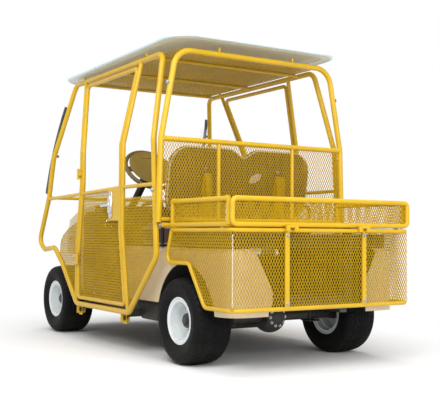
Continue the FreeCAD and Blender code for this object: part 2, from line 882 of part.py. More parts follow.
def side_frame():
    radius = size("tube_radius")
    parts = side_tubes(0)
    for station in (size("side_lug_rear"), ahead("side_lug_front")):
        y = size("cage_half_width")
        parts.append(box(station - 22, station + 22, y - radius - size("side_lug_half"), y - radius + size("side_lug_half"),
                         size("side_lug_low"), size("side_bottom")))
    for height in (size("hinge_low"), size("hinge_high")):
        parts.extend(fixed_hinge(height))
    return fuse(parts)


hinge_side = size("cage_half_width") + door_radius + size("hinge_barrel_radius") + 0.5


def hinge_leaf(to_station, low, high):
    """A strap from the hinge axis to a tube at one station, with a foot on that tube."""
    half = size("hinge_leaf") / 2
    axis = ahead("hinge_station")
    strap = box(min(axis, to_station - 5), max(axis, to_station + 5), hinge_side - half, hinge_side + half, low, high)
    foot = box(to_station - 5, to_station + 5, size("cage_half_width") + 4, hinge_side, low, high)
    return fuse([strap, foot])


def hinge_part(height, low, high, radius):
    axis = ahead("hinge_station")
    return rod(Vector(axis, hinge_side, height + low), Vector(axis, hinge_side, height + high), radius)


def fixed_hinge(height):
    inner = size("hinge_knuckle_half") + size("seat_gap")
    outer = size("hinge_half_length")
    bore = hinge_part(height, -outer - 1, outer + 1, size("hinge_pin_radius") + size("running_clearance"))
    jamb = along_line(front_line, height) + jamb_shift
    parts = []
    for low, high in ((-outer, -inner), (inner, outer)):
        knuckle_half = fuse([hinge_part(height, low, high, size("hinge_barrel_radius")),
                             hinge_leaf(jamb, height + low, height + high)])
        parts.append(knuckle_half.cut(bore))
    return parts


def moving_hinge(height):
    inner = size("hinge_knuckle_half")
    outer = size("hinge_half_length")
    stile = along_line(front_line, height) - jamb_shift
    return [hinge_part(height, -inner, inner, size("hinge_barrel_radius")),
            hinge_part(height, -outer, outer, size("hinge_pin_radius")),
            hinge_leaf(stile, height - inner, height + inner)]


left_frame = side_frame()
keep("cage_side_left", left_frame)
keep("cage_side_right", mirrored(left_frame))


latch_station = size("door_rear_mid") + jamb_shift + 108
latch_plate_side = size("cage_half_width") + 12


def door_tubes(extra):
    loop_low = size("door_bottom")
    loop_high = size("door_top")
    front = jamb_points(front_line, -jamb_shift, loop_low, loop_high)
    rear = jamb_points(rear_line, jamb_shift, loop_low, loop_high)
    loop = tube(front + rear[::-1], door_radius + extra, 26, closed=True)
    waist = rod(on_side(ahead("door_front_mid") - jamb_shift, size("waist_front") + 15),
                on_side(size("door_rear_mid") + jamb_shift, size("waist_rear")), 11 + extra)
    return [loop, waist]


def door_frame():
    parts = door_tubes(0)
    parts.append(box(size("door_rear_mid") + jamb_shift, latch_station + 34, latch_plate_side - 4,
                     latch_plate_side, 758, 950))
    for height in (size("hinge_low"), size("hinge_high")):
        parts.extend(moving_hinge(height))
    return fuse(parts)


left_door = door_frame()
keep("door_frame_left", left_door)
keep("door_frame_right", mirrored(left_door))


def door_latch():
    station = latch_station
    y = latch_plate_side + size("seat_gap")
    body = box(station - 22, station + 22, y, y + 26, 770, 934)
    lever = rod(Vector(station, y + 18, 850), Vector(station + 110, y + 18, 868), 8)
    return fuse([body, lever])


left_latch = door_latch()
keep("door_latch_left", left_latch)
keep("door_latch_right", mirrored(left_latch))


rear_frame_foot = size("tray_bottom") + size("tray_tube_radius") + 3 * size("seat_gap")
rear_frame_sill = rear_frame_foot + size("tube_radius")


def rear_frame_points():
    x = size("rear_frame_station")
    half = size("rear_frame_half_width")
    top = size("rear_frame_top")
    top_half = size("rear_frame_top_half_width")
    left = [Vector(x, half + 12, rear_frame_foot), Vector(x, half, size("mid_rail")), Vector(x, top_half, top)]
    return left + [Vector(p.x, -p.y, p.z) for p in left[::-1]]





def cross_rails():
    radius = size("roof_tube_radius")
    parts = []
    gap = size("tube_radius") + size("seat_gap")
    for station in (size("roof_rail_rear"), (size("roof_rail_rear") + ahead("roof_rail_front")) / 2 + 30,
                    ahead("roof_rail_front")):
        reach = size("cage_top_half_width") - gap
        height = size("ceiling_height") - radius - size("mesh_thickness") / 2 - size("seat_gap")
        parts.append(rod(Vector(station, -reach, height), Vector(station, reach, height), radius))
    foot = size("screen_post_foot_height")
    reach = size("cage_half_width") - gap
    x = ahead("screen_post_foot_station")
    parts.append(rod(Vector(x, -reach, foot), Vector(x, reach, foot), 11))
    for side in (1, -1):
        for station in (size("standoff_rear"), ahead("standoff_front")):
            parts.append(rod(Vector(station, side * size("cage_top_half_width"), size("cage_top") + gap),
                             Vector(station, side * size("cage_top_half_width"),
                                    size("canopy_bottom") - size("seat_gap")), 8))
    return group(parts)


keep("cage_cross_rails", cross_rails())


# Mesh panels

sheet_wall = size("mesh_thickness")


def cut_to_tubes(panel, tubes):
    """Trim a panel drawn to the tubes' centre lines and keep what lies inside them."""
    left = panel.cut(tubes)
    return max(left.Solids, key=lambda solid: solid.Volume)


def side_panel(points):
    y = size("cage_half_width")
    return plate([Vector(x, y, z) for x, z in points], Vector(0, 1, 0), sheet_wall)


def rear_frame_lower(extra):
    """The rear frame's members round its mesh."""
    x = size("rear_frame_station")
    half = size("rear_frame_half_width")
    mid = size("mid_rail")
    parts = [rod(Vector(x, -half, mid), Vector(x, half, mid), size("mid_rail_radius") + extra),
             rod(Vector(x, -half - 8, rear_frame_sill), Vector(x, half + 8, rear_frame_sill), 11 + extra)]
    for side in (1, -1):
        y = side * size("rear_bar_half")
        parts.append(rod(Vector(x, y, rear_frame_sill), Vector(x, y, mid), 11 + extra))
    return parts


def rear_frame():
    x = size("rear_frame_station")
    parts = [tube(rear_frame_points(), size("tube_radius"), size("large_bend"))] + rear_frame_lower(0)
    for side in (1, -1):
        y = side * size("rear_bar_half")
        parts.append(rod(Vector(x, y, size("rear_frame_top")),
                         Vector(x, y, size("canopy_bottom") - size("seat_gap")), 7))
    return fuse(parts)


keep("cage_rear_frame", rear_frame())


def cage_mesh():
    gap = size("seat_gap")
    jambs = side_tubes(gap)
    jamb = ahead("door_front_mid") + jamb_shift
    low_jamb = ahead("door_front_low") + jamb_shift
    waist = size("waist_front")
    front_quarter = side_panel([
        (jamb, waist + 12), (screen_post_station(waist), waist), (ahead("nose_station"), size("nose_height")),
        (ahead("front_arch_level_station"), size("front_arch_level_height")),
        (ahead("front_arch_top_station"), size("front_arch_top_height")),
        (ahead("front_arch_foot_station"), size("front_arch_foot_height")),
        (ahead("side_bottom_front"), size("side_bottom")), (low_jamb, size("side_bottom")),
        (low_jamb, size("door_front_low_height")),
    ])
    rear_edge = size("door_rear_mid") - jamb_shift
    rear_quarter = side_panel([
        (rear_edge, size("waist_rear")), (rear_post_station(size("waist_rear")), size("waist_rear")),
        (size("post_foot_station"), size("post_foot_height")), (size("side_bottom_rear"), size("side_bottom")),
        (size("door_rear_low") - jamb_shift, size("side_bottom")), (rear_edge, size("door_rear_low_height")),
    ])
    sides = [cut_to_tubes(front_quarter, jambs), cut_to_tubes(rear_quarter, jambs)]
    x = size("rear_frame_station")
    half = size("rear_frame_half_width")
    posts = [tube(rear_frame_points(), size("tube_radius") + gap, size("large_bend"))]
    back = plate([Vector(x, -half, rear_frame_sill), Vector(x, -half, size("mid_rail")),
                  Vector(x, half, size("mid_rail")), Vector(x, half, rear_frame_sill)], Vector(1, 0, 0), sheet_wall)
    back = back.cut(rear_frame_lower(gap) + posts)
    z = size("ceiling_height")
    wide = size("ceiling_half_width")
    start = x + size("tube_radius") + gap
    end = ahead("screen_post_top_station") - 10
    roof = plate([Vector(start, -wide, z), Vector(end, -wide, z), Vector(end, wide, z), Vector(start, wide, z)],
                 Vector(0, 0, 1), sheet_wall)
    backs = [solid for solid in back.Solids if solid.Volume > 1000]
    return group(sides + [mirrored(panel) for panel in sides] + backs + [roof])


keep("cage_mesh", cage_mesh())


def door_mesh():
    low = size("door_bottom")
    outline = [(ahead("door_front_low") - jamb_shift, low),
               (ahead("door_front_low") - jamb_shift, size("door_front_low_height")),
               (ahead("door_front_mid") - jamb_shift, size("waist_front") + 15),
               (size("door_rear_mid") + jamb_shift, size("waist_rear")),
               (size("door_rear_mid") + jamb_shift, size("door_rear_low_height")),
               (along_line(rear_line, low) + jamb_shift, low)]
    return cut_to_tubes(side_panel(outline), door_tubes(size("seat_gap")))


left_door_mesh = door_mesh()
keep("door_mesh_left", left_door_mesh)
keep("door_mesh_right", mirrored(left_door_mesh))


# Tray, tailgate and skirt

def tray_frame():
    radius = size("tray_tube_radius")
    half = size("tray_half_width")
    front = size("tray_front")
    rear = size("tray_rear") + 2 * radius + size("gate_clearance")
    low = size("tray_bottom")
    top = size("tray_top")
    parts = []
    for side in (1, -1):
        y = side * half
        parts.append(rod(Vector(front, y, low), Vector(rear, y, low), radius))
        parts.append(rod(Vector(front, y, top), Vector(rear, y, top), radius))
        parts.append(rod(Vector(front, y, low), Vector(front, y, top), radius))
        parts.append(rod(Vector(rear, y, low), Vector(rear, y, top), radius))
        parts.append(rod(Vector(front, y, low), Vector(size("rear_frame_station"), y, low), radius))
    parts.append(rod(Vector(rear, -half, low), Vector(rear, half, low), radius))
    parts.append(rod(Vector(front, -half, low), Vector(front, half, low), radius))
    parts.append(rod(Vector(size("rear_frame_station"), -half - 50, low),
                     Vector(size("rear_frame_station"), half + 50, low), radius))
    return fuse(parts)


keep("tray_frame", tray_frame())


def tray_mesh():
    radius = size("tray_tube_radius") + size("seat_gap")
    half = size("tray_half_width")
    front = size("tray_front") - radius
    rear = size("tray_rear") + 2 * size("tray_tube_radius") + size("gate_clearance") + radius
    low = size("tray_bottom") + radius
    top = size("tray_top") - radius
    walls = [plate([Vector(front, side * half, low), Vector(rear, side * half, low),
                    Vector(rear, side * half, top), Vector(front, side * half, top)],
                   Vector(0, 1, 0), sheet_wall) for side in (1, -1)]
    z = size("tray_bottom")
    floor = plate([Vector(front, -half + radius, z), Vector(rear, -half + radius, z),
                   Vector(rear, half - radius, z), Vector(front, half - radius, z)],
                  Vector(0, 0, 1), sheet_wall)
    return group(walls + [floor])


keep("tray_mesh", tray_mesh())


gate_axis_station = size("tray_rear") - size("gate_hinge_offset")
gate_axis_height = size("gate_hinge_height")


def gate_loop(extra):
    x = size("tray_rear")
    half = size("tray_half_width")
    loop = [Vector(x, -half, size("tray_bottom")), Vector(x, half, size("tray_bottom")),
            Vector(x, half, size("tray_top")), Vector(x, -half, size("tray_top"))]
    return tube(loop, size("tray_tube_radius") + extra, 24, closed=True)


def along_gate_hinge(y, half, radius):
    return rod(Vector(gate_axis_station, y - half, gate_axis_height),
               Vector(gate_axis_station, y + half, gate_axis_height), radius)


def tailgate():
    """The drop-down rear wall with its hinge knuckles and pins."""
    x = size("tray_rear")
    knuckle_half = size("gate_knuckle_half")
    parts = [gate_loop(0)]
    for side in (1, -1):
        y = side * size("gate_tab_side")
        parts.append(along_gate_hinge(y, knuckle_half, size("gate_hinge_radius")))
        parts.append(along_gate_hinge(y, size("gate_tab_half"), size("hinge_pin_radius")))
        parts.append(box(gate_axis_station, x, y - knuckle_half, y + knuckle_half,
                         gate_axis_height, size("tray_bottom")))
    return fuse(parts)


def gate_knuckles(y):
    """The fixed half of one tailgate hinge, standing on the skirt's top rail."""
    inner = size("gate_knuckle_half") + size("seat_gap")
    outer = size("gate_tab_half")
    radius = size("gate_hinge_radius")
    bore = along_gate_hinge(y, outer + 1, size("hinge_pin_radius") + size("running_clearance"))
    parts = []
    for low, high in ((y - outer, y - inner), (y + inner, y + outer)):
        barrel = rod(Vector(gate_axis_station, low, gate_axis_height),
                     Vector(gate_axis_station, high, gate_axis_height), radius)
        strap = box(gate_axis_station - radius, gate_axis_station, low, high,
                    size("skirt_top") - 4, gate_axis_height)
        foot = box(gate_axis_station - radius, size("tray_rear"), low, high,
                   size("skirt_top") - 4, size("skirt_top") + 6)
        parts.append(fuse([barrel, strap, foot]).cut(bore))
    return parts


def tailgate_mesh():
    radius = size("tray_tube_radius") + size("seat_gap")
    half = size("tray_half_width") - radius
    x = size("tray_rear")
    low = size("tray_bottom") + radius
    top = size("tray_top") - radius
    panel = plate([Vector(x, -half, low), Vector(x, half, low), Vector(x, half, top), Vector(x, -half, top)],
                  Vector(1, 0, 0), sheet_wall)
    return panel.cut(gate_loop(size("seat_gap")))


keep("tailgate", tailgate())
keep("tailgate_mesh", tailgate_mesh())


def skirt_points(y):
    return [Vector(size("skirt_front_top"), y, size("skirt_top")),
            Vector(size("skirt_front_low"), y, size("skirt_step")),
            Vector(size("skirt_step_rear"), y, size("skirt_step")),
            Vector(size("skirt_foot"), y, size("skirt_bottom")),
            Vector(size("tray_rear"), y, size("skirt_bottom"))]


def skirt_tubes(extra):
    radius = size("tray_tube_radius") - 1.5 + extra
    half = size("tray_half_width")
    x = size("tray_rear")
    top = size("skirt_top")
    low = size("skirt_bottom")
    left = skirt_points(half)
    right = skirt_points(-half)
    parts = [tube(left + right[::-1], radius, 40, closed=False)]
    upper = [left[0], Vector(x, half, top), Vector(x, -half, top), right[0]]
    parts.append(tube(upper, radius, 30))
    for side in (1, -1):
        y = side * (size("rear_bar_half") - 5)
        parts.append(rod(Vector(x, y, low), Vector(x, y, top), 9 + extra))
    return parts


def skirt_frame():
    parts = skirt_tubes(0)
    tab_top = size("tray_bottom") - size("tray_tube_radius") - size("seat_gap")
    for side in (1, -1):
        y = side * size("tray_half_width")
        parts.extend(gate_knuckles(side * size("gate_tab_side")))
        for x in (size("tray_front") - 40, size("tray_rear") + 90):
            parts.append(box(x - 15, x + 15, y - 4, y + 4, size("skirt_top"), tab_top))
    return fuse(parts)


keep("skirt_frame", skirt_frame())


def skirt_mesh():
    half = size("tray_half_width")
    x = size("tray_rear")
    top = size("skirt_top")
    low = size("skirt_bottom")
    clearance = skirt_tubes(size("seat_gap"))
    fold = size("mesh_thickness")
    panels = []
    for side in (1, -1):
        points = skirt_points(side * half)[:-1]
        outline = points + [Vector(x + fold, side * half, low), Vector(x + fold, side * half, top)]
        panels.append(cut_to_tubes(plate(outline, Vector(0, 1, 0), sheet_wall), clearance))
    rear = plate([Vector(x, -half + fold, low), Vector(x, half - fold, low), Vector(x, half - fold, top),
                  Vector(x, -half + fold, top)], Vector(1, 0, 0), sheet_wall)
    rear = rear.cut(clearance)
    return group(panels + [solid for solid in rear.Solids if solid.Volume > 1000])


keep("skirt_mesh", skirt_mesh())


# Canopy and windshield

def canopy():
    rear = size("canopy_rear")
    front = ahead("canopy_front")
    half = size("canopy_half_width")
    low = size("canopy_bottom")
    edge = size("canopy_edge")
    slab = box(rear, front, -half, half, low, low + edge)
    upright = [e for e in slab.Edges if abs(e.Vertexes[0].Z - e.Vertexes[1].Z) > 1]
    slab = slab.makeFillet(size("canopy_corner"), upright)
    inset = 70
    rise = box(rear + inset, front - inset, -half + inset, half - inset, low + edge,
               low + edge + size("canopy_crown"))
    upright = [e for e in rise.Edges if abs(e.Vertexes[0].Z - e.Vertexes[1].Z) > 1]
    rise = rise.makeFillet(size("canopy_corner") - inset, upright)
    return fuse([slab, rise])


keep("canopy", canopy())


def windshield():
    radius = size("tube_radius") + size("seat_gap") + size("screen_thickness") / 2
    low = size("screen_low")
    high = size("screen_high")
    slope = Vector(screen_post_station(high) - screen_post_station(low), 0, high - low)
    normal = Vector(slope.z, 0, -slope.x)
    normal.normalize()
    corners = []
    for height, side in ((low, 1), (low, -1), (high, -1), (high, 1)):
        corners.append(Vector(screen_post_station(height), side * (side_width(height) + 6), height) + normal * radius)
    return plate(corners, normal, size("screen_thickness"))


keep("windshield", windshield())


# Write the pieces

doc.recompute()
for piece in doc.Objects:
    if "Invalid" in piece.State or "Error" in piece.State:
        raise RuntimeError("%s is in state %s" % (piece.Label, piece.State))
for piece in nodes:
    if piece.Shape.isNull() or not piece.Shape.isValid() or piece.Shape.Volume < 1:
        raise RuntimeError("%s has no valid shape" % piece.Label)
for piece in nodes:
    piece.Shape.exportStep("parts/%s.step" % piece.Label)
    print(piece.Label, len(piece.Shape.Solids), round(piece.Shape.Volume / 1000.0, 1))
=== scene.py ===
import json
from math import copysign, cos, exp, hypot, pi, radians, sin, sqrt, tan

import bmesh
import bpy
import numpy as np
from mathutils import Matrix, Vector
from mathutils.bvhtree import BVHTree


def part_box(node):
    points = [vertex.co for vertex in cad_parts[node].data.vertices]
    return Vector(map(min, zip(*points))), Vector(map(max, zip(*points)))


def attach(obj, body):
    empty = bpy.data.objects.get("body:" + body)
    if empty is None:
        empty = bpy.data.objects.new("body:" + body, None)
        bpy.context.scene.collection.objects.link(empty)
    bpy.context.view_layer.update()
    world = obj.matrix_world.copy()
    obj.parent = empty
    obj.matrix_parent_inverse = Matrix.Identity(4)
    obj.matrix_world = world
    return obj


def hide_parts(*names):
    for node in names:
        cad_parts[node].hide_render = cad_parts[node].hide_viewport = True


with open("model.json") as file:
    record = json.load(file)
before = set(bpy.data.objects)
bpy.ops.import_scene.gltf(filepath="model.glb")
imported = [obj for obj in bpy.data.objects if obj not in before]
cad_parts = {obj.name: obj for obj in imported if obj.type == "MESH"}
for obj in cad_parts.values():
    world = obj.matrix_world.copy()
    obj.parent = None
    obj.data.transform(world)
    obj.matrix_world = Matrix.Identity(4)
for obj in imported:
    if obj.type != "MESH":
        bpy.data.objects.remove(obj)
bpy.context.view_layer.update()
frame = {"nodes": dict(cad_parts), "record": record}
NODES = frame["nodes"]
scene = bpy.context.scene


# Places that the pieces share, in metres

def middle(node):
    low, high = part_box(node)
    return (low + high) / 2


FORWARD = Vector((1, 0, 0))
LEFT = Vector((0, 1, 0))
UP = Vector((0, 0, 1))
REAR_AXLE = middle("tyre_rear_left")
REAR_X = REAR_AXLE.x


def at(station, y, z):
    """A point given by its station from the rear axle."""
    return Vector((station + REAR_X, y, z))


def side_name(sign):
    return "left" if sign > 0 else "right"


# Materials

def shader(name):
    made = bpy.data.materials.new(name)
    made.use_nodes = True
    tree = made.node_tree
    body = tree.nodes["Principled BSDF"]
    return made, tree, body


def link(tree, source, output, target, entry):
    tree.links.new(source.outputs[output], target.inputs[entry])


def noise_node(tree, scale, detail=3.0, rough=0.55):
    coord = tree.nodes.new("ShaderNodeTexCoord")
    grain = tree.nodes.new("ShaderNodeTexNoise")
    grain.inputs["Scale"].default_value = scale
    grain.inputs["Detail"].default_value = detail
    grain.inputs["Roughness"].default_value = rough
    link(tree, coord, "Object", grain, "Vector")
    return grain


def ramp(tree, source, output, stops):
    made = tree.nodes.new("ShaderNodeValToRGB")
    elements = made.color_ramp.elements
    while len(elements) < len(stops):
        elements.new(0.5)
    for element, (place, colour) in zip(elements, stops):
        element.position = place
        element.color = (*colour, 1.0)
    link(tree, source, output, made, "Fac")
    return made


def spread(tree, source, output, low, high, from_low=0.3, from_high=0.7):
    made = tree.nodes.new("ShaderNodeMapRange")
    made.inputs["From Min"].default_value = from_low
    made.inputs["From Max"].default_value = from_high
    made.inputs["To Min"].default_value = low
    made.inputs["To Max"].default_value = high
    link(tree, source, output, made, "Value")
    return made


def relief(tree, body, source, output, strength, distance):
    bump = tree.nodes.new("ShaderNodeBump")
    bump.inputs["Strength"].default_value = strength
    bump.inputs["Distance"].default_value = distance
    link(tree, source, output, bump, "Height")
    link(tree, bump, "Normal", body, "Normal")
    return bump


def times(colour, factor):
    return tuple(min(1.0, max(0.0, c * factor)) for c in colour)


def finish_of(name, colour, rough, metallic=0.0, mottle=0.08, scale=9.0, grain=(220.0, 0.12, 0.0006),
              rough_spread=0.08, coat=0.0, dirt=None, specular=0.5):
    """A surface with slow colour drift, uneven gloss, fine relief and, where asked, road dust low down."""
    made, tree, body = shader(name)
    body.inputs["Metallic"].default_value = metallic
    body.inputs["Specular IOR Level"].default_value = specular
    body.inputs["Coat Weight"].default_value = coat
    body.inputs["Coat Roughness"].default_value = 0.12
    slow = noise_node(tree, scale)
    tone = ramp(tree, slow, "Fac", [(0.3, times(colour, 1 - mottle)), (0.7, times(colour, 1 + mottle))])
    last, output = tone, "Color"
    if dirt:
        top, tint, amount = dirt
        coord = tree.nodes.new("ShaderNodeTexCoord")
        split = tree.nodes.new("ShaderNodeSeparateXYZ")
        link(tree, coord, "Object", split, "Vector")
        low = spread(tree, split, "Z", amount, 0.0, 0.12, top)
        patches = noise_node(tree, 14.0, 5.0, 0.65)
        patch = spread(tree, patches, "Fac", 0.25, 1.0, 0.35, 0.65)
        joined = tree.nodes.new("ShaderNodeMath")
        joined.operation = "MULTIPLY"
        link(tree, low, "Result", joined, 0)
        link(tree, patch, "Result", joined, 1)
        mix = tree.nodes.new("ShaderNodeMix")
        mix.data_type = "RGBA"
        link(tree, joined, "Value", mix, "Factor")
        link(tree, tone, "Color", mix, 6)
        mix.inputs[7].default_value = (*tint, 1.0)
        last, output = mix, 2
    tree.links.new(last.outputs[output], body.inputs["Base Color"])
    wear = noise_node(tree, scale * 3.1, 4.0)
    gloss = spread(tree, wear, "Fac", rough - rough_spread, rough + rough_spread)
    link(tree, gloss, "Result", body, "Roughness")
    if grain:
        fine = noise_node(tree, grain[0], 2.0)
        relief(tree, body, fine, "Fac", grain[1], grain[2])
    return made


DUST = (0.30, 0.25, 0.17)
YELLOW = (0.66, 0.405, 0.010)
M = {
    "cage_yellow": finish_of("cage_enamel", YELLOW, 0.36, mottle=0.06, scale=6.0, coat=0.20,
                             grain=(150.0, 0.10, 0.0005), dirt=(0.55, DUST, 0.14), specular=0.3),
    # painted shade: the mesh strands use the cage's yellow darkened to 0.84, standing in for the shade on the
    # thin strands
    "mesh_yellow": finish_of("mesh_enamel_painted_shade", times(YELLOW, 0.84), 0.52, mottle=0.08, scale=5.0,
                             grain=(400.0, 0.12, 0.0003), dirt=(0.60, DUST, 0.05), specular=0.15),
    "body_beige": finish_of("body_moulding", (0.74, 0.61, 0.40), 0.30, mottle=0.025, scale=2.2, coat=0.35,
                            grain=(90.0, 0.05, 0.0004), dirt=(0.52, DUST, 0.30)),
    "canopy_white": finish_of("canopy_moulding", (0.66, 0.77, 0.80), 0.34, mottle=0.02, scale=1.6,
                              grain=(120.0, 0.06, 0.0004)),
    "dark_plastic": finish_of("dark_plastic", (0.014, 0.013, 0.011), 0.60, mottle=0.15, scale=12.0,
                              grain=(700.0, 0.30, 0.0006)),
    "floor_mat": finish_of("floor_mat", (0.014, 0.013, 0.012), 0.78, mottle=0.25, scale=18.0,
                           grain=(500.0, 0.4, 0.0008), dirt=(0.40, DUST, 0.35)),
    "battery_case": finish_of("battery_case", (0.011, 0.011, 0.012), 0.62, mottle=0.2, scale=16.0),
    "black_steel": finish_of("chassis_black", (0.017, 0.017, 0.018), 0.48, mottle=0.2, scale=10.0,
                             grain=(300.0, 0.25, 0.0006), dirt=(0.40, DUST, 0.16)),
    "cast_black": finish_of("cast_black", (0.020, 0.020, 0.021), 0.55, mottle=0.3, scale=20.0,
                            grain=(260.0, 0.5, 0.0012), dirt=(0.40, DUST, 0.18)),
    "spring_steel": finish_of("spring_steel", (0.11, 0.11, 0.115), 0.42, metallic=0.7, mottle=0.2, scale=30.0,
                              grain=(300.0, 0.3, 0.0006), dirt=(0.40, DUST, 0.2)),
    "seat_vinyl": finish_of("seat_vinyl", (0.085, 0.050, 0.026), 0.46, mottle=0.10, scale=7.0,
                            grain=(900.0, 0.45, 0.0006)),
    "seat_shell": finish_of("seat_shell", (0.105, 0.068, 0.034), 0.50, mottle=0.08, scale=5.0,
                            grain=(600.0, 0.25, 0.0005)),
    "tyre_rubber": finish_of("tyre_rubber", (0.0045, 0.0048, 0.0047), 0.62, mottle=0.25, scale=12.0,
                             grain=(420.0, 0.35, 0.0006), dirt=(0.13, DUST, 0.02), specular=0.12),
    "rim_white": finish_of("rim_enamel", (0.74, 0.78, 0.79), 0.30, mottle=0.03, scale=12.0, coat=0.3,
                           grain=(200.0, 0.08, 0.0004), dirt=(0.30, DUST, 0.16)),
    "latch_chrome": finish_of("latch_chrome", (0.62, 0.62, 0.64), 0.16, metallic=1.0, mottle=0.05, scale=25.0,
                              rough_spread=0.06, grain=(300.0, 0.08, 0.0003)),
    "piping": finish_of("seat_piping", (0.62, 0.55, 0.42), 0.5, mottle=0.05, scale=20.0),
    "wheel_grip": finish_of("wheel_grip", (0.150, 0.100, 0.028), 0.42, mottle=0.12, scale=14.0,
                            grain=(800.0, 0.35, 0.0005)),
    "card_holder": finish_of("card_holder", (0.270, 0.185, 0.042), 0.45, mottle=0.08, scale=16.0,
                             grain=(500.0, 0.2, 0.0004)),
    # painted shade: near-black for the inside faces of the beige rear moulding, standing in for the shade in
    # its well
    "painted_shade_black": finish_of("moulding_inside_painted_shade", (0.013, 0.011, 0.009), 0.75, mottle=0.25, scale=9.0,
                             grain=(160.0, 0.5, 0.0012)),
    "canopy_under": finish_of("canopy_inside", (0.78, 0.79, 0.66), 0.55, mottle=0.05, scale=3.0,
                              grain=(200.0, 0.25, 0.0008)),
    "screen_rubber": finish_of("screen_rubber", (0.012, 0.014, 0.026), 0.45, mottle=0.2, scale=20.0),
    # painted highlight: a pale, glossy, part-metallic finish that stands in for the glint where the mesh
    # folds round a corner
    "painted_glint_fold": finish_of("painted_glint_mesh_fold", (0.90, 0.84, 0.62), 0.25, metallic=0.3, mottle=0.15, scale=60.0),
    "plate": finish_of("blank_plate", (0.70, 0.68, 0.62), 0.35, mottle=0.03, scale=20.0),
    "black_rubber": finish_of("edge_rubber", (0.012, 0.012, 0.013), 0.60, mottle=0.2, scale=20.0),
    "zinc": finish_of("zinc_fasteners", (0.50, 0.50, 0.49), 0.34, metallic=0.9, mottle=0.12, scale=40.0),
}


def clear_sheet():
    made, tree, body = shader("clear_sheet")
    body.inputs["Base Color"].default_value = (0.97, 0.99, 0.985, 1)
    body.inputs["Roughness"].default_value = 0.04
    body.inputs["IOR"].default_value = 1.45
    body.inputs["Transmission Weight"].default_value = 1.0
    body.inputs["Alpha"].default_value = 0.10
    haze = noise_node(tree, 4.0)
    gloss = spread(tree, haze, "Fac", 0.02, 0.07)
    link(tree, gloss, "Result", body, "Roughness")
    return made


M["clear_screen"] = clear_sheet()


# Mesh helpers

def smooth(obj, angle=35.0):
    for polygon in obj.data.polygons:
        polygon.use_smooth = True
    obj.data.set_sharp_from_angle(angle=radians(angle))
    return obj


def mesh_object(name, verts, faces, material, shade=35.0):
    data = bpy.data.meshes.new(name)
    data.from_pydata([tuple(v) for v in verts], [], faces)
    data.validate()
    data.update()
    obj = bpy.data.objects.new(name, data)
    scene.collection.objects.link(obj)
    obj.data.materials.append(M[material])
    if shade:
        smooth(obj, shade)
    return obj


def place(obj, body, slot=None, stands_for=()):
    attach(obj, body)
    if stands_for:
        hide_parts(*stands_for)
    return obj


class Gather:
    """Collects many small closed shapes into one mesh."""

    def __init__(self):
        self.verts = []
        self.faces = []

    def add(self, verts, faces):
        start = len(self.verts)
        self.verts.extend(verts)
        self.faces.extend([[start + i for i in face] for face in faces])

    def loft(self, rings, loop=False):
        """Rings of equal length joined in order."""
        count = len(rings[0])
        verts = [v for ring in rings for v in ring]
        faces = []
        steps = len(rings) if loop else len(rings) - 1
        for k in range(steps):
            a, b = k * count, ((k + 1) % len(rings)) * count
            for i in range(count):
                j = (i + 1) % count
                faces.append([a + i, a + j, b + j, b + i])
        if not loop:
            faces.append(list(range(count))[::-1])
            last = (len(rings) - 1) * count
            faces.append([last + i for i in range(count)])
        self.add(verts, faces)

    def build(self, name, material, shade=35.0):
        obj = mesh_object(name, self.verts, self.faces, material, shade)
        mesh = bmesh.new()
        mesh.from_mesh(obj.data)
        bmesh.ops.recalc_face_normals(mesh, faces=mesh.faces)
        mesh.to_mesh(obj.data)
        mesh.free()
        if shade:
            smooth(obj, shade)
        return obj

    def put(self, name, material, shade, body="chassis", slot=None, stands_for=()):
        return place(self.build(name, material, shade), body, slot, stands_for)


def across(direction):
    """Two unit vectors square to a direction and to each other."""
    direction = direction.normalized()
    other = UP if abs(direction.z) < 0.9 else FORWARD
    first = direction.cross(other).normalized()
    return first, direction.cross(first).normalized()


def circle(centre, first, second, radius, count):
    return [centre + first * (radius * cos(2 * pi * k / count))
            + second * (radius * sin(2 * pi * k / count)) for k in range(count)]


def turned(gather, base, axis, outline, count=24):
    """A turned shape: outline is a list of (distance along the axis, radius)."""
    first, second = across(axis)
    axis = axis.normalized()
    gather.loft([circle(base + axis * along, first, second, max(radius, 0.00005), count)
                 for along, radius in outline])


def along_path(points, closed=False):
    """Each point of a path with the direction of travel there."""
    total = len(points)
    for index, point in enumerate(points):
        before = points[index - 1] if (closed or index) else point
        after = points[(index + 1) % total] if (closed or index + 1 < total) else point
        yield point, (after - before).normalized()


def swept(gather, points, radius, count=12, closed=False):
    """A round cord along a path."""
    rings = []
    normal = None
    for index, (point, tangent) in enumerate(along_path(points, closed)):
        if normal is None:
            normal, _ = across(tangent)
        normal = (normal - tangent * normal.dot(tangent)).normalized()
        side = tangent.cross(normal)
        size = radius[index] if isinstance(radius, list) else radius
        rings.append(circle(point, normal, side, size, count))
    gather.loft(rings, loop=closed)


def hex_bolt(gather, seat, normal, across_flats=0.013, washer=True):
    """A bolt head with its washer, standing on a surface."""
    normal = normal.normalized()
    first, second = across(normal)
    top = seat
    if washer:
        turned(gather, seat, normal, [(-0.0005, across_flats * 0.85), (0.0016, across_flats * 0.85)], 20)
        top = seat + normal * 0.0016
    radius = across_flats / sqrt(3)
    height = across_flats * 0.55
    rings = []
    for along, size in ((0.0, 1.0), (height * 0.75, 1.0), (height, 0.86)):
        rings.append(circle(top + normal * along, first, second, radius * size, 6))
    gather.loft(rings)


# Shapes that several dressed pieces share

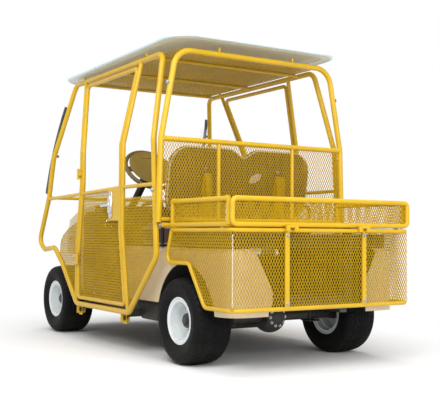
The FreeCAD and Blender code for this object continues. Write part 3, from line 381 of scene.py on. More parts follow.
def arc_path(points, radius, steps=8):
    """A closed outline with every corner rounded to an arc."""
    made = []
    for index, corner in enumerate(points):
        back = points[index - 1] - corner
        ahead = points[(index + 1) % len(points)] - corner
        first, second = back.normalized(), ahead.normalized()
        half = first.angle(second) / 2
        reach = min(radius / tan(half), 0.48 * back.length, 0.48 * ahead.length)
        centre = corner + (first + second).normalized() * (reach / cos(half))
        start, end = corner + first * reach - centre, corner + second * reach - centre
        sweep = start.angle(end)
        for k in range(steps + 1):
            t = k / steps
            made.append(centre + (start * sin((1 - t) * sweep) + end * sin(t * sweep)) / sin(sweep))
    return made


def ribbon(gather, points, section, up):
    """A section of (across, up) pairs carried along a path."""
    rings = []
    for point, tangent in along_path(points):
        side = tangent.cross(up).normalized()
        top = side.cross(tangent)
        rings.append([point + side * a + top * b for a, b in section])
    gather.loft(rings)


def strip_section(width, thick, soft=0.0012):
    """A flat bar's section with softened corners."""
    w, t = width / 2, thick / 2
    return [(-w + soft, -t), (w - soft, -t), (w, -t + soft), (w, t - soft), (w - soft, t), (-w + soft, t),
            (-w, t - soft), (-w, -t + soft)]


def oblong(centre, first, second, width, height, corner, steps=6):
    """A rounded rectangle in the plane of two directions."""
    a, b = first * (width / 2), second * (height / 2)
    return arc_path([centre - a - b, centre + a - b, centre + a + b, centre - a + b], corner, steps)


def slab(gather, outline, normal, thick, bevel=0.001):
    """A flat plate with bevelled edges, its lower face on the outline."""
    centre = sum(outline, Vector()) / len(outline)
    rings = []
    for inset, lift in ((bevel, 0.0), (0.0, bevel), (0.0, thick - bevel), (bevel, thick)):
        rings.append([p + (centre - p).normalized() * inset + normal * lift for p in outline])
    gather.loft(rings)


def bolts(name, places, size=0.013, material="zinc"):
    gather = Gather()
    for seat, normal in places:
        hex_bolt(gather, seat, Vector(normal), size)
    return gather.put(name, material, 30)


def weld(gather, centre, axis, radius, bead=0.0026, count=30):
    """The rippled bead where a tube meets another."""
    first, second = across(axis)
    rings = []
    for k in range(count):
        angle = 2 * pi * k / count
        outward = first * cos(angle) + second * sin(angle)
        size = bead * (1.0 + 0.22 * sin(k * 2.6))
        rings.append(circle(centre + outward * radius, outward, axis.normalized(), size, 6))
    gather.loft(rings, loop=True)


def settled(obj):
    """The object with its modifiers made real."""
    made = bpy.data.meshes.new_from_object(obj.evaluated_get(bpy.context.evaluated_depsgraph_get()))
    obj.modifiers.clear()
    obj.data = made
    return obj


def carved(base, tools):
    """The base with each tool cut away."""
    for tool in tools:
        cut = base.modifiers.new("cut", "BOOLEAN")
        cut.operation = "DIFFERENCE"
        cut.solver = "EXACT"
        cut.object = tool
    settled(base)
    for tool in tools:
        bpy.data.objects.remove(tool)
    return base


def held_points(obj, test):
    """A vertex group of the points that a pad's carrier holds."""
    group = obj.vertex_groups.new(name="held")
    group.add([v.index for v in obj.data.vertices if test(v.co)], 1.0, "REPLACE")
    return group


def puffed(obj, held, cap, voxel=0.009, pressure=4.0):
    """Remesh a closed form and let cloth under pressure plump it, no point further than the cap."""
    mesher = obj.modifiers.new("even", "REMESH")
    mesher.mode = "VOXEL"
    mesher.voxel_size = voxel
    settled(obj)
    held_points(obj, held)
    rest = [v.co.copy() for v in obj.data.vertices]
    cloth = obj.modifiers.new("pressure", "CLOTH")
    settings = cloth.settings
    settings.quality = 5
    settings.mass = 0.3
    settings.tension_stiffness = 12
    settings.compression_stiffness = 12
    settings.shear_stiffness = 5
    settings.bending_stiffness = 1.5
    settings.use_pressure = True
    settings.uniform_pressure_force = pressure
    settings.effector_weights.gravity = 0
    settings.vertex_group_mass = "held"
    cloth.collision_settings.use_collision = False
    for step in range(1, 21):
        scene.frame_set(step)
    settled(obj)
    for vertex, start in zip(obj.data.vertices, rest):
        move = vertex.co - start
        if move.length > cap:
            vertex.co = start + move.normalized() * cap
    scene.frame_set(1)
    obj.vertex_groups.clear()
    relax = bmesh.new()
    relax.from_mesh(obj.data)
    for _ in range(2):
        bmesh.ops.smooth_vert(relax, verts=relax.verts, factor=0.5, use_axis_x=True, use_axis_y=True,
                              use_axis_z=True)
    relax.to_mesh(obj.data)
    relax.free()
    finer = obj.modifiers.new("finer", "SUBSURF")
    finer.levels = finer.render_levels = 1
    return smooth(settled(obj), 60)


def on_surface(obj, points, lift):
    """Points drawn on to the nearest spot of a finished pad."""
    tree = BVHTree.FromPolygons([v.co for v in obj.data.vertices], [p.vertices for p in obj.data.polygons])
    made = []
    for point in points:
        spot, normal, _, _ = tree.find_nearest(point)
        made.append(spot + normal * lift)
    return made


# Expanded-metal panels, each fitted to the outline of its CAD sheet

STRAND = 0.0028
SHEET = 0.0020
SHORT_WAY = 0.0165
LONG_WAY = 0.0315


def islands(node):
    """The node's separate solids as lists of triangles of points."""
    data = NODES[node].data
    keys = [tuple(round(c, 5) for c in v.co) for v in data.vertices]
    root = {}

    def find(key):
        while root[key] != key:
            root[key] = root[root[key]]
            key = root[key]
        return key

    for key in keys:
        root.setdefault(key, key)
    triangles = []
    for polygon in data.polygons:
        corners = [keys[i] for i in polygon.vertices]
        triangles.append(corners)
        for other in corners[1:]:
            root[find(other)] = find(corners[0])
    groups = {}
    for corners in triangles:
        groups.setdefault(find(corners[0]), []).append(corners)
    return list(groups.values())


def outline_of(triangles):
    """The normal axis, level and outer loop of a flat sheet, from one of its faces."""
    points = np.array([p for corners in triangles for p in corners])
    low, high = points.min(0), points.max(0)
    axis = int((high - low).argmin())
    u, v = [(1, 2), (0, 2), (0, 1)][axis]
    if axis == 2:
        u, v = 1, 0
    edges = {}
    for corners in triangles:
        if all(abs(p[axis] - high[axis]) < 1e-5 for p in corners):
            for a, b in zip(corners, corners[1:] + corners[:1]):
                if (b, a) in edges:
                    del edges[(b, a)]
                else:
                    edges[(a, b)] = True
    following = {a: b for a, b in edges}
    loops = []
    while following:
        start, nxt = following.popitem()
        loop = [start]
        while nxt != start and nxt in following:
            loop.append(nxt)
            nxt = following.pop(nxt)
        loops.append(loop)

    def area(loop):
        return abs(sum(a[u] * b[v] - b[u] * a[v] for a, b in zip(loop, loop[1:] + loop[:1]))) / 2

    outer = max(loops, key=area)
    return axis, u, v, (low[axis] + high[axis]) / 2, [(p[u], p[v]) for p in outer]


def inside_runs(a, b, polygon):
    """The stretches of a segment that lie inside a polygon."""
    cuts = [0.0, 1.0]
    dx, dy = b[0] - a[0], b[1] - a[1]
    for (x0, y0), (x1, y1) in zip(polygon, polygon[1:] + polygon[:1]):
        ex, ey = x1 - x0, y1 - y0
        cross = dx * ey - dy * ex
        if abs(cross) < 1e-14:
            continue
        t = ((x0 - a[0]) * ey - (y0 - a[1]) * ex) / cross
        s = ((x0 - a[0]) * dy - (y0 - a[1]) * dx) / cross
        if 0 <= s <= 1 and 0 < t < 1:
            cuts.append(t)
    cuts.sort()
    runs = []
    for t0, t1 in zip(cuts, cuts[1:]):
        if t1 - t0 < 1e-6:
            continue
        mid = ((a[0] + dx * (t0 + t1) / 2), (a[1] + dy * (t0 + t1) / 2))
        hit = False
        for (x0, y0), (x1, y1) in zip(polygon, polygon[1:] + polygon[:1]):
            if (y0 > mid[1]) != (y1 > mid[1]) and mid[0] < (x1 - x0) * (mid[1] - y0) / (y1 - y0) + x0:
                hit = not hit
        if hit:
            runs.append((t0, t1))
    return runs


def strands(outline):
    """Zigzag strands of expanded metal that fill an outline, as plane segments."""
    array = np.array(outline)
    low, high = array.min(0), array.max(0)
    half = SHORT_WAY / 2
    rise = LONG_WAY / 2
    swing = SHORT_WAY / 4 - STRAND * 0.36
    columns = int((high[0] - low[0]) / half) + 2
    steps = int((high[1] - low[1]) / rise) + 3
    made = []
    for column in range(-1, columns):
        x = low[0] + (column + 0.5) * half
        for step in range(-1, steps):
            lean = 1 if (column + step) % 2 else -1
            a = (x - lean * swing, low[1] + step * rise)
            b = (x + lean * swing, low[1] + (step + 1) * rise)
            for t0, t1 in inside_runs(a, b, outline):
                made.append(((a[0] + (b[0] - a[0]) * t0, a[1] + (b[1] - a[1]) * t0),
                             (a[0] + (b[0] - a[0]) * t1, a[1] + (b[1] - a[1]) * t1)))
    return made


def expanded(name, node, body, triangle_groups=None, keep=None):
    verts, faces = [], []
    for triangles in triangle_groups or islands(node):
        axis, u, v, level, outline = outline_of(triangles)
        for a, b in strands(outline):
            run = (b[0] - a[0], b[1] - a[1])
            length = hypot(*run)
            if length < 1e-5:
                continue
            along = (run[0] / length, run[1] / length)
            if keep and not keep(axis, ((a[0] + b[0]) / 2, (a[1] + b[1]) / 2)):
                continue
            reach = 0.0012
            start = (a[0] - along[0] * reach, a[1] - along[1] * reach)
            end = (b[0] + along[0] * reach, b[1] + along[1] * reach)
            side = (-along[1] * STRAND / 2, along[0] * STRAND / 2)
            first = len(verts)
            for place_, (su, sd) in ((start, (1, 1)), (start, (-1, 1)), (start, (-1, -1)), (start, (1, -1)),
                                     (end, (1, 1)), (end, (-1, 1)), (end, (-1, -1)), (end, (1, -1))):
                point = [0.0, 0.0, 0.0]
                point[u] = place_[0] + side[0] * su
                point[v] = place_[1] + side[1] * su
                point[axis] = level + sd * SHEET / 2
                verts.append(point)
            faces.extend([[first + k, first + (k + 1) % 4, first + 4 + (k + 1) % 4, first + 4 + k]
                          for k in range(4)])
    obj = mesh_object(name, verts, faces, "mesh_yellow", shade=None)
    return place(obj, body, "mesh_yellow", [node] if triangle_groups is None else ())


MESH_NODES = {
    "tray_mesh": "chassis", "skirt_mesh": "chassis", "tailgate_mesh": "tailgate_body",
    "door_mesh_left": "door_left", "door_mesh_right": "door_right",
}
for node, body in MESH_NODES.items():
    expanded(node + "_strands", node, body)
cage_panels = islands("cage_mesh")
ceiling = [g for g in cage_panels if outline_of(g)[0] == 2]
walls = [g for g in cage_panels if outline_of(g)[0] != 2]
expanded("ceiling_strands", "cage_mesh", "chassis", ceiling)
# The cowl's outline as the photo's camera sees it on the guard's plane, in stations and heights
BROW = [(1.205, 0.760), (1.243, 0.752), (1.327, 0.732), (1.412, 0.704), (1.490, 0.664), (1.525, 0.630),
        (1.542, 0.560)]
SIDE_PANEL_FRONT = 0.9
SIDE_PANEL_TOP = 0.885
GUARD_FOOT = 0.30


def below_brow(axis, point):
    """Keeps side strands below edges fitted to the photo's view, which a real panel doesn't have."""
    if axis != 1:
        return True
    station, height = point[0] - REAR_X, point[1]
    if station < BROW[0][0]:
        return height < (SIDE_PANEL_TOP if station < SIDE_PANEL_FRONT else BROW[0][1])
    for (x0, z0), (x1, z1) in zip(BROW, BROW[1:]):
        if station < x1:
            return height < z0 + (z1 - z0) * (station - x0) / (x1 - x0)
    return height < GUARD_FOOT


wall_strands = expanded("cage_strands", "cage_mesh", "chassis", walls, below_brow)
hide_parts("cage_mesh")


# Canopy: one crowned moulded sheet with a rolled edge and a hollow underside

def rounded_rectangle(x0, x1, half, corner, inset, z, count=10):
    corner = max(corner - inset, 0.004)
    x0, x1, half = x0 + inset, x1 - inset, half - inset
    ring = []
    for cx, cy, start in ((x1 - corner, half - corner, 0), (x0 + corner, half - corner, 90),
                          (x0 + corner, -half + corner, 180), (x1 - corner, -half + corner, 270)):
        for k in range(count + 1):
            angle = radians(start + 90 * k / count)
            ring.append(Vector((cx + corner * cos(angle), cy + corner * sin(angle), z)))
    return ring


def tilted(rings):
    """Lift the rear of the canopy's rings, so that the moulding falls towards the front within its box."""
    low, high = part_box("canopy")
    for ring in rings:
        for point in ring:
            share = (high.x - point.x) / (high.x - low.x)
            point.z += 0.0235 * share * min(1.0, (high.z - point.z) / 0.024)
    return rings


def canopy():
    low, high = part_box("canopy")
    half = high.y
    corner = 0.15
    gather = Gather()
    rings = []
    under = [(0.250, 0.012), (0.060, 0.010), (0.030, 0.009), (0.020, 0.003), (0.014, 0.0)]
    for inset, lift in under:
        rings.append(rounded_rectangle(low.x, high.x, half, corner, inset, low.z + lift))
    edge = 0.011
    for k in range(9):
        angle = pi * k / 8
        rings.append(rounded_rectangle(low.x, high.x, half, corner, edge - edge * sin(angle),
                                       low.z + edge - edge * cos(angle)))
    top = high.z - low.z
    for inset, share in ((0.022, 0.52), (0.040, 0.60), (0.070, 0.72), (0.110, 0.82), (0.170, 0.90),
                         (0.260, 0.96), (0.380, 0.99), (0.500, 1.0)):
        rings.append(rounded_rectangle(low.x, high.x, half, corner, inset, low.z + top * share))
    gather.loft(tilted(rings))
    obj = gather.build("canopy_shell", "canopy_white", 40)
    return place(obj, "chassis", "canopy_white", ["canopy"])


canopy()


# Tyres and wheels

def tyre_mesh(name):
    around = 216
    outer, bead = 0.2285, 0.1019
    side = [(0.0805, bead), (0.0838, 0.1120), (0.0858, 0.1190), (0.0876, 0.1245), (0.0930, 0.1285),
            (0.0985, 0.1420),
            (0.1045, 0.1600),
            (0.1075, 0.1760), (0.1080, 0.1850), (0.1068, 0.1900), (0.1052, 0.1930), (0.1046, 0.2000),
            (0.1010, 0.2090), (0.0945, 0.2165), (0.0870, 0.2208)]
    crown = [(0.0790, 0.2235), (0.0700, 0.2254), (0.0610, 0.2265), (0.0600, 0.2266), (0.0520, 0.2273),
             (0.0430, 0.2279), (0.0420, 0.22795), (0.0330, 0.2282), (0.0240, 0.22835), (0.0230, 0.22838),
             (0.0140, 0.2285), (0.0050, 0.2285), (0.0040, 0.2285)]
    profile = [(-y, r) for y, r in side + crown] + [(0.0, outer)] + [(y, r) for y, r in (side + crown)[::-1]]
    rings = []
    for k in range(around):
        angle = 2 * pi * k / around
        ring = []
        for y, r in profile:
            depth = 0.0
            width = abs(y)
            if width < 0.088 and r > 0.2:
                wave = 0.0035 * sin(angle * 54)
                for groove in (0.0115, 0.0350, 0.0585):
                    if abs(width - groove - wave) < 0.0032:
                        depth = 0.0042
                if width > 0.062 and (k + (3 if y > 0 else 0)) % 6 in (0, 1):
                    depth = 0.0036
                elif width <= 0.062 and (k + int(width * 600)) % 6 == 0:
                    depth = max(depth, 0.0028)
            elif 0.1035 < width < 0.1065 and 0.189 < r < 0.202 and k % 2:
                depth = 0.0006
            ring.append(Vector((cos(angle) * (r - depth), y, sin(angle) * (r - depth))))
        rings.append(ring)
    gather = Gather()
    count = len(profile)
    verts = [v for ring in rings for v in ring]
    faces = []
    for k in range(around):
        a, b = k * count, ((k + 1) % around) * count
        for i in range(count):
            j = (i + 1) % count
            faces.append([a + i, b + i, b + j, a + j])
    gather.add(verts, faces)
    obj = gather.build(name, "tyre_rubber", 28)
    return obj


def rim_mesh(name):
    gather = Gather()
    origin, axis = Vector(), LEFT
    barrel = [(-0.0920, 0.1225), (-0.0920, 0.1180), (-0.0900, 0.1150), (-0.0865, 0.1140), (-0.0850, 0.1010),
              (-0.0500, 0.0975), (-0.0480, 0.0900), (0.0060, 0.0890), (0.0085, 0.0930), (0.0300, 0.0940),
              (0.0500, 0.0955), (0.0560, 0.0985), (0.0850, 0.1000), (0.0866, 0.1135), (0.0900, 0.1150),
              (0.0925, 0.1180), (0.0928, 0.1215), (0.0912, 0.1240), (0.0885, 0.1230), (0.0870, 0.1180),
              (0.0820, 0.1014), (-0.0820, 0.1014), (-0.0870, 0.1180), (-0.0890, 0.1235)]
    first, second = across(axis)
    gather.loft([circle(origin + axis * y, first, second, r, 96) for y, r in barrel], loop=True)
    disc = [(0.0030, 0.0905), (0.0075, 0.0860), (0.0080, 0.0720), (0.0140, 0.0640), (0.0150, 0.0560),
            (0.0100, 0.0500), (0.0100, 0.0330), (0.0060, 0.0328), (0.0060, 0.0490), (0.0100, 0.0560),
            (0.0096, 0.0630), (0.0040, 0.0715), (0.0030, 0.0860)]
    gather.loft([circle(origin + axis * y, first, second, r, 96) for y, r in disc], loop=True)
    return gather.build(name, "rim_white", 30)


def wheel_hardware(name):
    """Hub, cap, lug nuts and valve of one wheel."""
    gather = Gather()
    origin, axis = Vector(), LEFT
    turned(gather, origin, axis, [(-0.060, 0.030), (-0.058, 0.034), (0.004, 0.034), (0.010, 0.0400),
                                  (0.044, 0.0390),
                                  (0.0500, 0.0350), (0.0505, 0.0230), (0.0580, 0.0220), (0.0610, 0.0185),
                                  (0.0615, 0.001)], 40)
    obj = gather.build(name + "_hub", "cast_black", 35)
    nuts = Gather()
    for k in range(4):
        angle = pi / 4 + pi / 2 * k
        seat = Vector((cos(angle) * 0.0545, 0.0098, sin(angle) * 0.0545))
        hex_bolt(nuts, seat, axis, 0.019, washer=False)
        turned(nuts, seat + axis * 0.009, axis, [(0, 0.0045), (0.007, 0.0045), (0.008, 0.0035)], 14)
    nut_obj = nuts.build(name + "_nuts", "zinc", 30)
    stem = Gather()
    start = Vector((0.0, 0.010, -0.0860))
    lean = Vector((0, 0.85, 0.35)).normalized()
    turned(stem, start, lean, [(0, 0.006), (0.006, 0.0055), (0.012, 0.0035), (0.024, 0.0033),
                               (0.0245, 0.0042),
                               (0.034, 0.0040), (0.0345, 0.001)], 14)
    stem_obj = stem.build(name + "_valve", "black_rubber", 30)
    return obj, nut_obj, stem_obj


WHEELS = {
    "rear_left": ("rear_wheel_left", 1), "rear_right": ("rear_wheel_right", -1),
    "front_left": ("front_wheel_left", 1), "front_right": ("front_wheel_right", -1),
}


def wheel(key, body, side, turn):
    centre = middle("tyre_" + key)
    spin = Matrix.Rotation(turn, 4, "Y")
    flip = Matrix.Rotation(pi if side < 0 else 0.0, 4, "Z")
    world = Matrix.Translation(centre) @ flip @ spin
    tyre = tyre_mesh("tyre_%s_treaded" % key)
    rim = rim_mesh("rim_%s_pressed" % key)
    hub, nuts, stem = wheel_hardware("wheel_" + key)
    for obj in (tyre, rim, hub, nuts, stem):
        obj.data.transform(world)
    place(tyre, body, "tyre_rubber", ["tyre_" + key])
    place(rim, body, "rim_white", ["rim_" + key])
    place(hub, body, "cast_black")
    place(nuts, body)
    place(stem, body)


for index, (key, (body, side)) in enumerate(WHEELS.items()):
    wheel(key, body, side, 0.35 + 0.6 * index)


# Rear body: a moulded shell, beige outside, its inside faces near-black as painted shade, with rolled arch
# lips and liners

def ring_block(low, high, inset, top_drop, run_on):
    """A rounded block: soft upright corners, a soft brow, its front run on past the cut."""
    corner, brow = 0.095, 0.055
    base, top = low.z - top_drop * 2, high.z - top_drop
    rings = [rounded_rectangle(low.x, high.x + run_on, high.y, corner, inset, base, 12)]
    for k in range(9):
        angle = pi / 2 * k / 8
        size = brow - inset
        rings.append(rounded_rectangle(low.x, high.x + run_on, high.y, corner,
                                       inset + size * (1 - cos(angle)),
                                       top - size + size * sin(angle), 12))
    gather = Gather()
    gather.loft(rings)
    return gather.build("block", "body_beige", None)


def prism(outline, way):
    """A closed solid from a plane outline carried along a direction."""
    gather = Gather()
    gather.loft([outline, [p + way for p in outline]])
    return gather.build("tool", "body_beige", None)


def through_block(x0, x1, top, bottom=-0.1, half_width=0.7):
    """A tool that cuts the whole width away between two places and below a height."""
    corners = [Vector((x, -half_width, z)) for x, z in ((x0, bottom), (x1, bottom), (x1, top), (x0, top))]
    return prism(corners, LEFT * (2 * half_width))


def rear_body():
    low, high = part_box("rear_body")
    wall = 0.005
    shell = ring_block(low, high, 0.0, 0.0, 0.2)
    inner = ring_block(low, high, wall, wall, 0.1)
    front = through_block(high.x, high.x + 0.5, 0.9)
    axle = Vector((REAR_X, 0, REAR_AXLE.z))
    arch = Gather()
    turned(arch, axle - Vector((0, 0.6, 0)), LEFT, [(0, 0.305), (1.2, 0.305)], 96)
    arch = arch.build("tool", "body_beige", None)
    sill = through_block(REAR_X, high.x + 0.1, 0.3045)
    half = [(0.317, 0.180), (0.317, 0.300), (0.295, 0.330), (0.291, 0.389), (0.335, 0.480), (0.402, 0.606),
            (0.402, 0.700)]
    rear, reach = low.x - 0.01, REAR_X - 0.060 - low.x + 0.01
    well = prism([Vector((rear, y, z)) for y, z in half]
                 + [Vector((rear, -y, z)) for y, z in half[::-1]], Vector((reach, 0, 0)))
    carved(shell, [inner, front, arch, sill, well])
    shell.name = "rear_body_moulding"
    shell.data.materials.clear()
    shell.data.materials.append(M["body_beige"])
    shell.data.materials.append(M["painted_shade_black"])
    # faces inside the shell's wall and its cut front get the near-black painted shade
    for polygon in shell.data.polygons:
        x, y, z = polygon.center
        side = max(abs(y) - (high.y - 0.095), 0.0)
        back = max((low.x + 0.095) - x, 0.0)
        plan = hypot(side, back) - 0.095
        brow = hypot(max(plan + 0.055, 0.0), max(z - (high.z - 0.055), 0.0)) - 0.055
        polygon.material_index = 1 if brow < -0.0042 or x > high.x - 0.003 else 0
    smooth(shell, 35)
    place(shell, "chassis", "body_beige", ["rear_body"])
    lips = Gather()
    for sign in (1, -1):
        y = sign * 0.5425
        path = []
        for k in range(49):
            angle = radians(12 + (168 - 12) * k / 48)
            spot = Vector((REAR_X + 0.3035 * cos(angle), y, REAR_AXLE.z + 0.3035 * sin(angle)))
            if spot.z > 0.306 and spot.x > low.x + 0.03:
                path.append(spot)
        swept(lips, path, 0.0042, 8)
    lips.put("rear_arch_lips", "body_beige", 50)


def wheel_liners():
    """Black inner arches over the rear wheels, with a wall on the inner side."""
    liners = Gather()

    def band(rings):
        """Four open arcs joined into one closed thin wall."""
        count = len(rings[0])
        faces = [[0, count, 2 * count, 3 * count], [count - 1, 4 * count - 1, 3 * count - 1, 2 * count - 1]]
        for k in range(4):
            a, b = k * count, ((k + 1) % 4) * count
            faces.extend([[a + i, a + i + 1, b + i + 1, b + i] for i in range(count - 1)])
        liners.add([v for ring in rings for v in ring], faces)

    def arc(radius, y):
        return [Vector((REAR_X + radius * sin(a), y, REAR_AXLE.z + radius * cos(a)))
                for a in (radians(-80 + 4 * k) for k in range(41))]

    for sign in (1, -1):
        inner, outer = sign * 0.322, sign * 0.538
        band([arc(0.3015, inner), arc(0.3015, outer), arc(0.2985, outer), arc(0.2985, inner)])
        band([arc(0.2985, inner), arc(0.2985, inner + sign * 0.003), arc(0.085, inner + sign * 0.003),
              arc(0.085, inner)])
    liners.put("rear_wheel_liners", "dark_plastic", 40)


rear_body()
wheel_liners()


# Seat: bench cushion and two-lobed back, each plumped by cloth, with pressed grooves and welts

LEAN = radians(9)
BACK_TOP = 1.178


def on_back(depth, y, z):
    """A point of the leaning back: its depth from the rear face, its side and its upright height."""
    fall = z - BACK_TOP
    return at(0.255 + depth * cos(LEAN) - fall * sin(LEAN), y,
              BACK_TOP + depth * sin(LEAN) + fall * cos(LEAN))


def back_depth(point):
    away = point - at(0.255, 0, BACK_TOP)
    return away.x * cos(LEAN) + away.z * sin(LEAN), BACK_TOP - away.x * sin(LEAN) + away.z * cos(LEAN)


def back_ring(depth, inset):
    half, top, low = 0.490 - inset, BACK_TOP - inset, 0.760 + inset
    dip_half, dip = 0.070 + inset, BACK_TOP - 0.058 - 2 * inset
    corners = [Vector((0, y, z)) for y, z in ((-half, low), (-half, top), (-dip_half, top), (0, dip),
                                              (dip_half, top), (half, top), (half, low))]
    return [on_back(depth, p.y, p.z) for p in arc_path(corners, 0.120)]


def seat_back():
    gather = Gather()
    gather.loft([back_ring(depth, inset) for depth, inset in (
        (0.0055, 0.085), (0.0045, 0.055), (0.0020, 0.034), (0.0, 0.022), (0.0002, 0.012), (0.0020, 0.004),
        (0.0055, 0.0008), (0.0100, 0.0), (0.0180, 0.0), (0.0212, 0.0015), (0.0220, 0.006))])
    gather.put("seat_back_moulding", "seat_shell", 40, "chassis", "seat_shell", ["seat_back_shell"])
    gather = Gather()
    gather.loft([back_ring(depth, inset) for depth, inset in (
        (0.0226, 0.030), (0.0226, 0.019), (0.0290, 0.014), (0.0430, 0.013), (0.0580, 0.017), (0.0690, 0.028),
        (0.0760, 0.048), (0.0790, 0.080))])
    pad = gather.build("seat_back_pad", "seat_vinyl", None)
    pad = puffed(pad, lambda p: back_depth(p)[0] < 0.028, 0.012)
    inward = Vector((-cos(LEAN), 0, -sin(LEAN)))
    for vertex in pad.data.vertices:
        depth, height = back_depth(vertex.co)
        if depth < 0.050:
            continue
        share = min(1.0, (depth - 0.050) / 0.015)
        groove = exp(-(vertex.co.y / 0.0065) ** 2)
        for line in (0.865, 0.965, 1.060):
            groove = max(groove, 0.75 * exp(-((height - line) / 0.0055) ** 2))
        vertex.co += inward * (0.0075 * groove * share)
    place(pad, "chassis", "seat_vinyl", ["seat_back"])
    welts = Gather()
    swept(welts, back_ring(0.0215, 0.0045), 0.0052, 10, closed=True)
    swept(welts, back_ring(0.0052, 0.0052), 0.0048, 10, closed=True)
    welts.put("seat_back_welt", "piping", 60)


def seat_cushion():
    low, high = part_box("seat_cushion")
    base = low.z + 0.0004
    gather = Gather()
    gather.loft([rounded_rectangle(low.x, high.x, high.y, 0.055, inset, base + lift, 8) for inset, lift in (
        (0.060, 0.0), (0.024, 0.0), (0.013, 0.008), (0.010, 0.030), (0.011, 0.075), (0.014, 0.098),
        (0.026, 0.114), (0.052, 0.1205), (0.110, 0.1225))])
    pad = gather.build("seat_cushion_pad", "seat_vinyl", None)
    pad = puffed(pad, lambda p: p.z < base + 0.012, 0.011)
    centre = (low + high) / 2
    for vertex in pad.data.vertices:
        point = vertex.co
        across_share = (point.x - centre.x) / (high.x - centre.x)
        if point.z > base + 0.105:
            groove = exp(-(point.y / 0.0065) ** 2)
            for line in (-0.30, 0.34):
                groove = max(groove, 0.8 * exp(-((across_share - line) / 0.026) ** 2))
            vertex.co.z -= 0.0075 * groove
        side_share = point.y / high.y
        if abs(side_share) > 0.93 and 0.02 < point.z - base < 0.10:
            vertex.co.y -= copysign(0.004 * max(0.0, 1 - across_share ** 2), point.y)
        if abs(across_share) > 0.9 and 0.02 < point.z - base < 0.10:
            vertex.co.x -= copysign(0.004 * max(0.0, 1 - side_share ** 2), across_share)
        vertex.co.z = max(vertex.co.z, low.z)
    place(pad, "chassis", "seat_vinyl", ["seat_cushion"])
    welts = Gather()
    for inset, lift in ((0.016, 0.108), (0.010, 0.014)):
        ring = rounded_rectangle(low.x, high.x, high.y, 0.055, inset, base + lift, 10)
        ring = [a.lerp(b, t / 6) for a, b in zip(ring, ring[1:] + ring[:1]) for t in range(6)]
        swept(welts, on_surface(pad, ring, 0.0012), 0.0038, 8, closed=True)
    welts.put("seat_cushion_welts", "piping", 60)


def seat_fittings():
    rearward = Vector((-cos(LEAN), 0, -sin(LEAN)))
    down = on_back(0, 0, 0.9) - on_back(0, 0, 1.0)
    down.normalize()
    plate = Gather()
    long_way = (-LEFT * cos(radians(28)) - down * sin(radians(28))).normalized()
    short_way = long_way.cross(rearward)
    centre = on_back(0.0056, -0.097, 1.010)
    outline = [centre + long_way * (0.046 * cos(a)) + short_way * (0.023 * sin(a))
               for a in (2 * pi * k / 48 for k in range(48))]
    slab(plate, outline, rearward, 0.0022, 0.0007)
    plate.put("seat_back_plate", "plate", 30)
    places = [(on_back(-0.0002, y, 1.054), rearward) for y in (-0.253, 0.253)]
    bolts("seat_back_bolts", places, 0.013)
    gussets = Gather()
    for y in (-0.285, 0.235):
        corners = [on_back(-0.0008, y - 0.022, 1.026), on_back(-0.0008, y + 0.022, 1.026),
                   on_back(-0.0008, y + 0.040, 0.900), on_back(-0.0008, y - 0.040, 0.900)]
        slab(gussets, arc_path(corners, 0.010, 4), rearward, 0.004)
    gussets.put("seat_back_gussets", "cage_yellow", 30)


seat_back()
seat_cushion()
seat_fittings()


# Steering wheel, column and dashboard fittings

COLUMN_TURN = Matrix.Rotation(radians(-48), 4, "Y")
WHEEL_CENTRE = at(0.876, 0.300, 1.083)


def on_column(x, y, z):
    """A point in the wheel's own frame, Z along the column towards the driver."""
    return WHEEL_CENTRE + COLUMN_TURN @ Vector((x, y, z))


def column_way(x, y, z):
    return COLUMN_TURN @ Vector((x, y, z))


